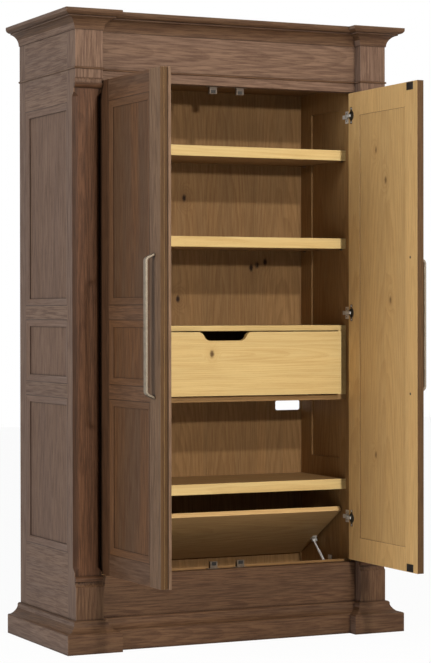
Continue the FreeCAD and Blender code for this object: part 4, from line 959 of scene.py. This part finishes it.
@dataclass
class Workshop:
    """Turns frame nodes into finished pieces."""

    paintbox: Paintbox
    seed: int = 1907
    count: int = 0

    def piece(self, name: str, body: str, finishes: list[Finish], shapes: list[Solid]) -> bpy.types.Object:
        """Joins shapes into one object that rides on a body.

        Args:
            name: The piece's name.
            body: The body that it moves with.
            finishes: Its finishes, in the order of its faces' material numbers.
            shapes: Its solids.

        Returns:
            The object.
        """
        mesh = bpy.data.meshes.new(name)
        whole = bmesh.new()
        for shape in shapes:
            part = bpy.data.meshes.new("part")
            shape.to_mesh(part)
            whole.from_mesh(part)
            bpy.data.meshes.remove(part)
            shape.free()
        whole.to_mesh(mesh)
        whole.free()
        made = stand(name, mesh)
        for finish in finishes:
            mesh.materials.append(self.paintbox.material(finish))
        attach(made, body)
        self.count += 1
        log.info("%s: %d faces on %s", name, len(mesh.polygons), body)
        return made

    def make(self, name: str, body: str, finish: Finish, shapes: list[Solid],
             grain: Grain = Grain.LENGTHWISE, edge: EdgeSoftness = FINE_EDGE) -> bpy.types.Object:
        """Finishes shapes that no frame node stands for.

        Args:
            name: The piece's name.
            body: The body that it moves with.
            finish: Its finish.
            shapes: Its solids.
            grain: Which way its wood runs.
            edge: How far its corners are rubbed down.

        Returns:
            The piece.
        """
        dice = random.Random(f"{self.seed} {name}")
        for shape in shapes:
            Board(None, [], closed_turn(body), grain, edge, dice, shape=shape).dress()
        return self.piece(name, body, [finish], shapes)

    def dress(self, node: str, finish: Finish, grain: Grain = Grain.LENGTHWISE, edge: EdgeSoftness = WOOD_EDGE,
              second: SecondFinish | None = None,
              choose: Callable[[Vector], Finish] | None = None) -> bpy.types.Object:
        """Makes the finished piece that stands for a frame node.

        Args:
            node: The node's name.
            finish: Its finish.
            grain: Which way its wood runs.
            edge: How far its corners are rubbed down.
            second: Another finish on some of the faces.
            choose: Names a board's finish from its middle in square axes, if the boards differ.

        Returns:
            The piece.
        """
        source = frame["nodes"][node]
        body = source["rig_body"]
        dice = random.Random(f"{self.seed} {node}")
        turn = closed_turn(body)
        finishes, shapes = [finish], []
        if second is not None:
            finishes.append(second.finish)
        for triangles in solids_of(source.data):
            own = finish
            if choose is not None:
                corners = {number for triangle in triangles for number in triangle}
                middle = sum((source.data.vertices[number].co for number in corners), Vector()) / len(corners)
                own = choose(turn @ middle)
            if own not in finishes:
                finishes.append(own)
            board = Board(source.data, triangles, turn, grain, edge, dice, finishes.index(own), 1,
                          None if second is None else second.where)
            shapes.append(board.dress())
        made = self.piece(f"dressed_{node}", body, finishes, shapes)
        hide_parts(node)
        return made


# Sub-assemblies

@dataclass
class Assembly:
    """A part of the cupboard that is dressed in one go."""

    shop: Workshop

    def alike(self, nodes: tuple[str, ...], *looks: object, **settings: object) -> None:
        """Dresses several nodes in the same way."""
        for node in nodes:
            self.shop.dress(node, *looks, **settings)


@dataclass
class Carcass(Assembly):
    """The outside of the case: posts, panelled sides, frieze, mouldings and top."""

    moulding_edge: EdgeSoftness = FINE_EDGE
    block_change: float = 1.2
    block_foot: float = 1.953
    plinth_head: float = 0.242
    block_step: float = 0.014
    cove_height: float = 0.018
    cove_lip: float = 0.003
    cove_depth: float = 0.9
    cove_lap: float = 0.0005
    cove_steps: int = 8
    post_outside: float = 0.608
    post_inside: float = 0.506

    def coves(self) -> None:
        """Makes the small hollow mouldings where the posts meet the blocks above and below them."""
        angles = [math.pi / 2 * step / self.cove_steps for step in range(self.cove_steps + 1)]
        curve = [(self.block_step * (1.0 - self.cove_depth * math.cos(angle)), math.sin(angle)) for angle in angles]
        back = self.block_step + self.cove_lap
        for name, side in (("left", -1), ("right", 1)):
            span = sorted((side * self.post_outside, side * self.post_inside))
            for level, foot, way in (("neck", self.block_foot, -1), ("plinth", self.plinth_head, 1)):
                rise = self.cove_height - self.cove_lip
                outline = [((1.0 - self.cove_depth) * self.block_step, foot)]
                outline += [(depth, foot + way * (self.cove_lip + rise * share)) for depth, share in curve]
                outline += [(back, outline[-1][1]), (back, foot)]
                shape = drawn_out(outline, *span)
                # The coves take the dark hinge-stile finish: painted shade in the hollows under and over the blocks.
                self.shop.make(f"{name}_{level}_cove", "case", Finish.SHADED_HINGE_STILE_OAK, [shape])

    def build(self) -> None:
        """Dresses every outside piece."""
        self.coves()
        shop = self.shop
        # Painted light: the faces that look left or right take the paler, greyer side finish, as lit from the side.
        lit_side_faces = SecondFinish(Finish.SIDE_OAK, Where.SIDEWAYS)
        self.alike(("left_post", "right_post"), Finish.POST_OAK, Grain.UPRIGHT, second=lit_side_faces)
        shop.dress("post_blocks", Finish.CASE_OAK, Grain.UPRIGHT, second=lit_side_faces, choose=self.block_finish)
        self.alike(("left_side_frame", "right_side_frame"), Finish.SIDE_OAK)
        shop.dress("side_panels", Finish.SIDE_PANEL_OAK, Grain.UPRIGHT)
        shop.dress("side_mouldings", Finish.SIDE_MOULDING_OAK, Grain.MITRED, self.moulding_edge)
        # Painted light: the frieze and header take a paler finish than the bottom rail and base, the top of the case
        # lighter than its foot.
        self.alike(("frieze_board", "header_rail"), Finish.FRIEZE_OAK)
        self.alike(("bottom_rail", "top_board"), Finish.CASE_OAK)
        self.alike(("astragal", "cornice", "base_moulding"), Finish.CASE_OAK, Grain.WRAPPED, self.moulding_edge,
                   second=lit_side_faces)

    def block_finish(self, middle: Vector) -> Finish:
        """Painted light: the blocks under the cornice are as pale as the frieze and those at the floor as dark as the
        base, the top lighter than the foot.
        """
        return Finish.FRIEZE_OAK if middle.z > self.block_change else Finish.CASE_OAK


@dataclass
class Interior(Assembly):
    """The inside of the case: lining boards, back, shelves and the blanket well."""

    def build(self) -> None:
        """Dresses every inside board and the shelf pins."""
        shop = self.shop
        self.alike(("left_inner_side", "right_inner_side"), Finish.SHADED_SIDE_LINING_OAK, Grain.UPRIGHT)
        shop.dress("back_panel", Finish.SHADED_INSIDE_OAK, Grain.UPRIGHT)
        # The inside boards and the shelves' faces take darker copies of the light oak, painted shade; the shelves'
        # front edges keep the light oak.
        self.alike(("upper_shelf", "middle_shelf", "drawer_shelf", "bottom_shelf"), Finish.SHADED_SHELF_OAK,
                   second=SecondFinish(Finish.LIGHT_OAK))
        shop.dress("drawer_base_board", Finish.SHADED_SHELF_OAK)
        self.alike(("ceiling_board", "compartment_floor", "compartment_front"), Finish.SHADED_INSIDE_OAK)
        shop.dress("drawer_spacers", Finish.LIGHT_OAK)
        shop.dress("shelf_pins", Finish.CUP_NICKEL, edge=NO_EDGE)


@dataclass
class Door(Assembly):
    """One panelled door with its cups, handle and strike plates."""

    side: str
    hinge_stile_reach: float = 0.09
    free_stile_start: float = 0.37

    def build(self) -> None:
        """Dresses the door's pieces."""
        shop, side = self.shop, self.side
        shop.dress(f"{side}_door_frame", Finish.DOOR_OAK, second=SecondFinish(Finish.RIM_OAK),
                   choose=self.frame_finish)
        shop.dress(f"{side}_door_panels", Finish.DOOR_PANEL_OAK, Grain.UPRIGHT)
        shop.dress(f"{side}_door_mouldings", Finish.DOOR_MOULDING_OAK, Grain.MITRED, FINE_EDGE)
        shop.dress(f"{side}_door_lining", Finish.DOOR_LINING_OAK, Grain.UPRIGHT,
                   second=SecondFinish(Finish.RIM_OAK))
        shop.dress(f"{side}_door_cups", Finish.CUP_NICKEL, edge=NO_EDGE)
        shop.dress(f"{side}_door_handle", Finish.HANDLE_METAL, Grain.UPRIGHT, ROUND_EDGE)
        shop.dress(f"{side}_door_strikes", Finish.BLACK_STEEL, edge=FINE_EDGE)

    def frame_finish(self, middle: Vector) -> Finish:
        """Painted shade and light: the hinge stile, next to the post, is darkest and the free stile palest."""
        if abs(middle.x) < self.hinge_stile_reach:
            return Finish.SHADED_HINGE_STILE_OAK
        return Finish.LIT_FREE_STILE_OAK if abs(middle.x) > self.free_stile_start else Finish.DOOR_OAK


@dataclass
class Hardware(Assembly):
    """Hinge arms and links, catches and magnets, runners."""

    def build(self) -> None:
        """Dresses the small metal and plastic pieces."""
        shop = self.shop
        self.alike(("hinge_arms", "left_hinge_links", "right_hinge_links"), Finish.NICKEL, edge=NO_EDGE)
        shop.dress("catch_housings", Finish.CATCH_PLASTIC, edge=FINE_EDGE)
        for node in ("upper_left", "upper_right", "lower_left", "lower_right"):
            shop.dress(f"{node}_magnet", Finish.MAGNET_STEEL, edge=FINE_EDGE)
        self.alike(("runner_fixed", "runner_middles", "runner_inner"), Finish.RUNNER_STEEL, edge=FINE_EDGE)
        shop.dress("closing_strip", Finish.LIT_FREE_STILE_OAK)


@dataclass
class Screws(Assembly):
    """Screw heads on the hinge plates, on the cups' flanges and behind the handles."""

    hinge_levels: tuple[float, ...] = (0.415, 1.163, 1.881)
    plate_face: float = 0.502
    plate_screw_depth: float = 0.098
    plate_screw_rise: float = 0.014
    flange_face: float = 0.4781
    flange_depth: float = 0.0204
    flange_screw_rise: float = 0.0245
    handle_face: float = 0.4716
    handle_depth: float = -0.411
    handle_levels: tuple[float, ...] = (0.882, 1.355)
    handle_screw_width: float = 1.7
    door_lean: float = 0.01746
    profile: tuple[tuple[float, float], ...] = (
        (0.0, 0.0001), (0.0010, 0.0001), (0.0013, 0.0005), (0.0020, 0.0006), (0.0027, 0.0003), (0.0028, -0.0006),
        (0.0, -0.0006))

    def heads(self, place: tuple[float, float], levels: tuple[float, ...], rise: float, axis: Vector,
              width: float = 1.0) -> list[Solid]:
        """Turns the heads of one set of screws.

        Args:
            place: Where they sit in X and Y.
            levels: The heights that they sit at or about.
            rise: How far above and below each height a pair sits, or 0 for one screw on it.
            axis: The way that they point out of.
            width: How much wider than the plain head they are.

        Returns:
            Their shapes.
        """
        profile = [(width * radius, height) for radius, height in self.profile]
        return [turned(profile, Vector((*place, level + shift)), axis)
                for level in levels for shift in ((-rise, rise) if rise else (0.0,))]

    def build(self) -> None:
        """Drives every screw."""
        for name, side in (("left", -1), ("right", 1)):
            inward = Vector((-side, 0, 0))
            door_inward = Vector((-side, self.door_lean, 0)).normalized()
            heads = self.heads((side * self.plate_face, self.plate_screw_depth), self.hinge_levels,
                               self.plate_screw_rise, inward)
            self.shop.make(f"{name}_plate_screws", "case", Finish.CUP_NICKEL, heads, edge=NO_EDGE)
            heads = self.heads((side * self.flange_face, self.flange_depth), self.hinge_levels,
                               self.flange_screw_rise, door_inward)
            self.shop.make(f"{name}_cup_screws", f"{name}_door", Finish.NICKEL, heads, edge=NO_EDGE)
            heads = self.heads((side * self.handle_face, self.handle_depth), self.handle_levels, 0.0, door_inward,
                               self.handle_screw_width)
            self.shop.make(f"{name}_handle_screws", f"{name}_door", Finish.BLACK_STEEL, heads, edge=NO_EDGE)


@dataclass
class Drawer(Assembly):
    """The shallow drawer under the lower shelf."""

    def build(self) -> None:
        """Dresses the drawer's front and box."""
        self.shop.dress("drawer_front", Finish.LIGHT_OAK, Grain.LEVEL)
        self.shop.dress("drawer_box", Finish.DOOR_LINING_OAK)


@dataclass
class BlanketWell(Assembly):
    """The well's lid with its fittings and its stay."""

    def build(self) -> None:
        """Dresses the lid, its fittings and the stay."""
        # The lid's faces take a darker copy of the light oak, painted shade, and its edges the bright door-lining
        # oak.
        self.shop.dress("lid", Finish.SHADED_LID_OAK, second=SecondFinish(Finish.DOOR_LINING_OAK))
        self.alike(("lid_fittings", "compartment_fittings"), Finish.NICKEL, edge=NO_EDGE)
        self.alike(("strut_cylinder", "strut_rod"), Finish.STRUT_CHROME, edge=NO_EDGE)


# Studio

@dataclass(frozen=True)
class Lamp:
    """A soft box that faces a point; as it is, it is a small warm one in front."""

    name: str
    place: Triple
    aim: Triple
    size: tuple[float, float] = (0.24, 0.2)
    power: float = 150.0
    colour: Triple = (1.0, 0.97, 0.93)

    def hang(self) -> None:
        """Hangs the box in the scene."""
        data = bpy.data.lights.new(self.name, "AREA")
        data.shape = "RECTANGLE"
        data.size, data.size_y = self.size
        data.energy = self.power
        data.color = self.colour
        lamp = stand(self.name, data)
        lamp.location = self.place
        lamp.rotation_mode = "QUATERNION"
        lamp.rotation_quaternion = (Vector(self.aim) - Vector(self.place)).to_track_quat("-Z", "Y")


@dataclass
class Studio:
    """Pale floor, soft light and the camera."""

    focal_pixels: float = 2145.79
    picture_height: float = 663.0
    sensor: float = 36.0
    camera_place: Triple = (-3.32321, -6.82728, 1.15844)
    camera_yaw: float = 25.415
    camera_pitch: float = -0.46
    camera_roll: float = -0.08
    ambient: float = 0.18
    floor_reach: float = 14.0
    floor_glow: float = 0.95
    floor_scale: float = 3.0
    floor_low: Colour = (0.91, 0.91, 0.91, 1.0)
    floor_high: Colour = (0.95, 0.95, 0.95, 1.0)
    lamps: tuple[Lamp, ...] = (
        Lamp("low_front", place=(-0.08, -5.7, 2.35), aim=(0.1, 0.2, 1.1)),
        Lamp("high_front", place=(0.22, -5.2, 3.9), aim=(0.1, 0.2, 1.1)),
        Lamp("left_fill", place=(-5.0, -1.8, 3.0), aim=(0.0, 0.2, 1.2), size=(2.4, 2.4), power=165.0,
             colour=(0.96, 0.98, 1.0)),
        Lamp("right_fill", place=(4.4, -3.4, 2.4), aim=(0.0, 0.2, 1.1), size=(2.0, 2.0), power=36.0,
             colour=(1.0, 1.0, 1.0)))

    def camera(self) -> None:
        """Makes the camera and gives it to the scene."""
        data = bpy.data.cameras.new("camera")
        data.sensor_width = self.sensor
        data.lens = self.focal_pixels * self.sensor / self.picture_height
        data.clip_end = 100.0
        yaw, pitch, roll = (math.radians(angle) for angle in (self.camera_yaw, self.camera_pitch, self.camera_roll))
        ahead = Vector((math.sin(yaw) * math.cos(pitch), math.cos(yaw) * math.cos(pitch), math.sin(pitch)))
        camera = stand("camera", data)
        camera.location = self.camera_place
        upright = ahead.to_track_quat("-Z", "Y")
        camera.rotation_mode = "QUATERNION"
        camera.rotation_quaternion = upright @ Matrix.Rotation(roll, 3, "Z").to_quaternion()
        bpy.context.scene.camera = camera

    def world(self) -> None:
        """Gives the room an even light that the camera sees as white."""
        room = bpy.data.worlds.new("room")
        bpy.context.scene.world = room
        recipe = Recipe(room)
        strength = recipe.node("ShaderNodeMapRange", {"Value": recipe.in_view(), "To Min": self.ambient,
                                                      "To Max": 1.0})
        background = recipe.node("ShaderNodeBackground", {"Color": WHITE, "Strength": strength.outputs[0]})
        recipe.node("ShaderNodeOutputWorld", {0: background.outputs[0]})

    def floor(self) -> None:
        """Lays a pale floor that shows white and keeps the cupboard's shadow."""
        recipe = Recipe(bpy.data.materials.new("pale_floor"))
        grain = recipe.noise(recipe.node("ShaderNodeTexCoord").outputs["Object"], self.floor_scale, rough=0.5)
        colour = recipe.mix(grain, self.floor_low, self.floor_high)
        matt = recipe.node("ShaderNodeBsdfDiffuse", {"Color": colour})
        glow = recipe.node("ShaderNodeEmission", {"Color": WHITE, "Strength": 1.0})
        both = recipe.node("ShaderNodeMixShader", {0: recipe.times(recipe.in_view(), self.floor_glow),
                                                   1: matt.outputs[0], 2: glow.outputs[0]})
        recipe.node("ShaderNodeOutputMaterial", {0: both.outputs[0]})
        mesh = bpy.data.meshes.new("floor")
        shape = bmesh.new()
        bmesh.ops.create_grid(shape, x_segments=8, y_segments=8, size=self.floor_reach)
        shape.to_mesh(mesh)
        shape.free()
        mesh.materials.append(recipe.owner)
        floor = stand("floor", mesh)

    def build(self) -> None:
        """Sets up the whole studio."""
        self.camera()
        for lamp in self.lamps:
            lamp.hang()
        self.world()
        self.floor()
        bpy.context.scene.view_settings.view_transform = "Standard"


def main() -> None:
    """Builds the studio and dresses the cupboard, sub-assembly by sub-assembly."""
    logging.basicConfig(level=logging.INFO, format="%(name)s %(message)s")
    Studio().build()
    shop = Workshop(Paintbox())
    Carcass(shop).build()
    Interior(shop).build()
    for side in ("left", "right"):
        Door(shop, side).build()
    Hardware(shop).build()
    Screws(shop).build()
    Drawer(shop).build()
    BlanketWell(shop).build()
    log.info("%d pieces", shop.count)


if __name__ == "__main__":
    main()
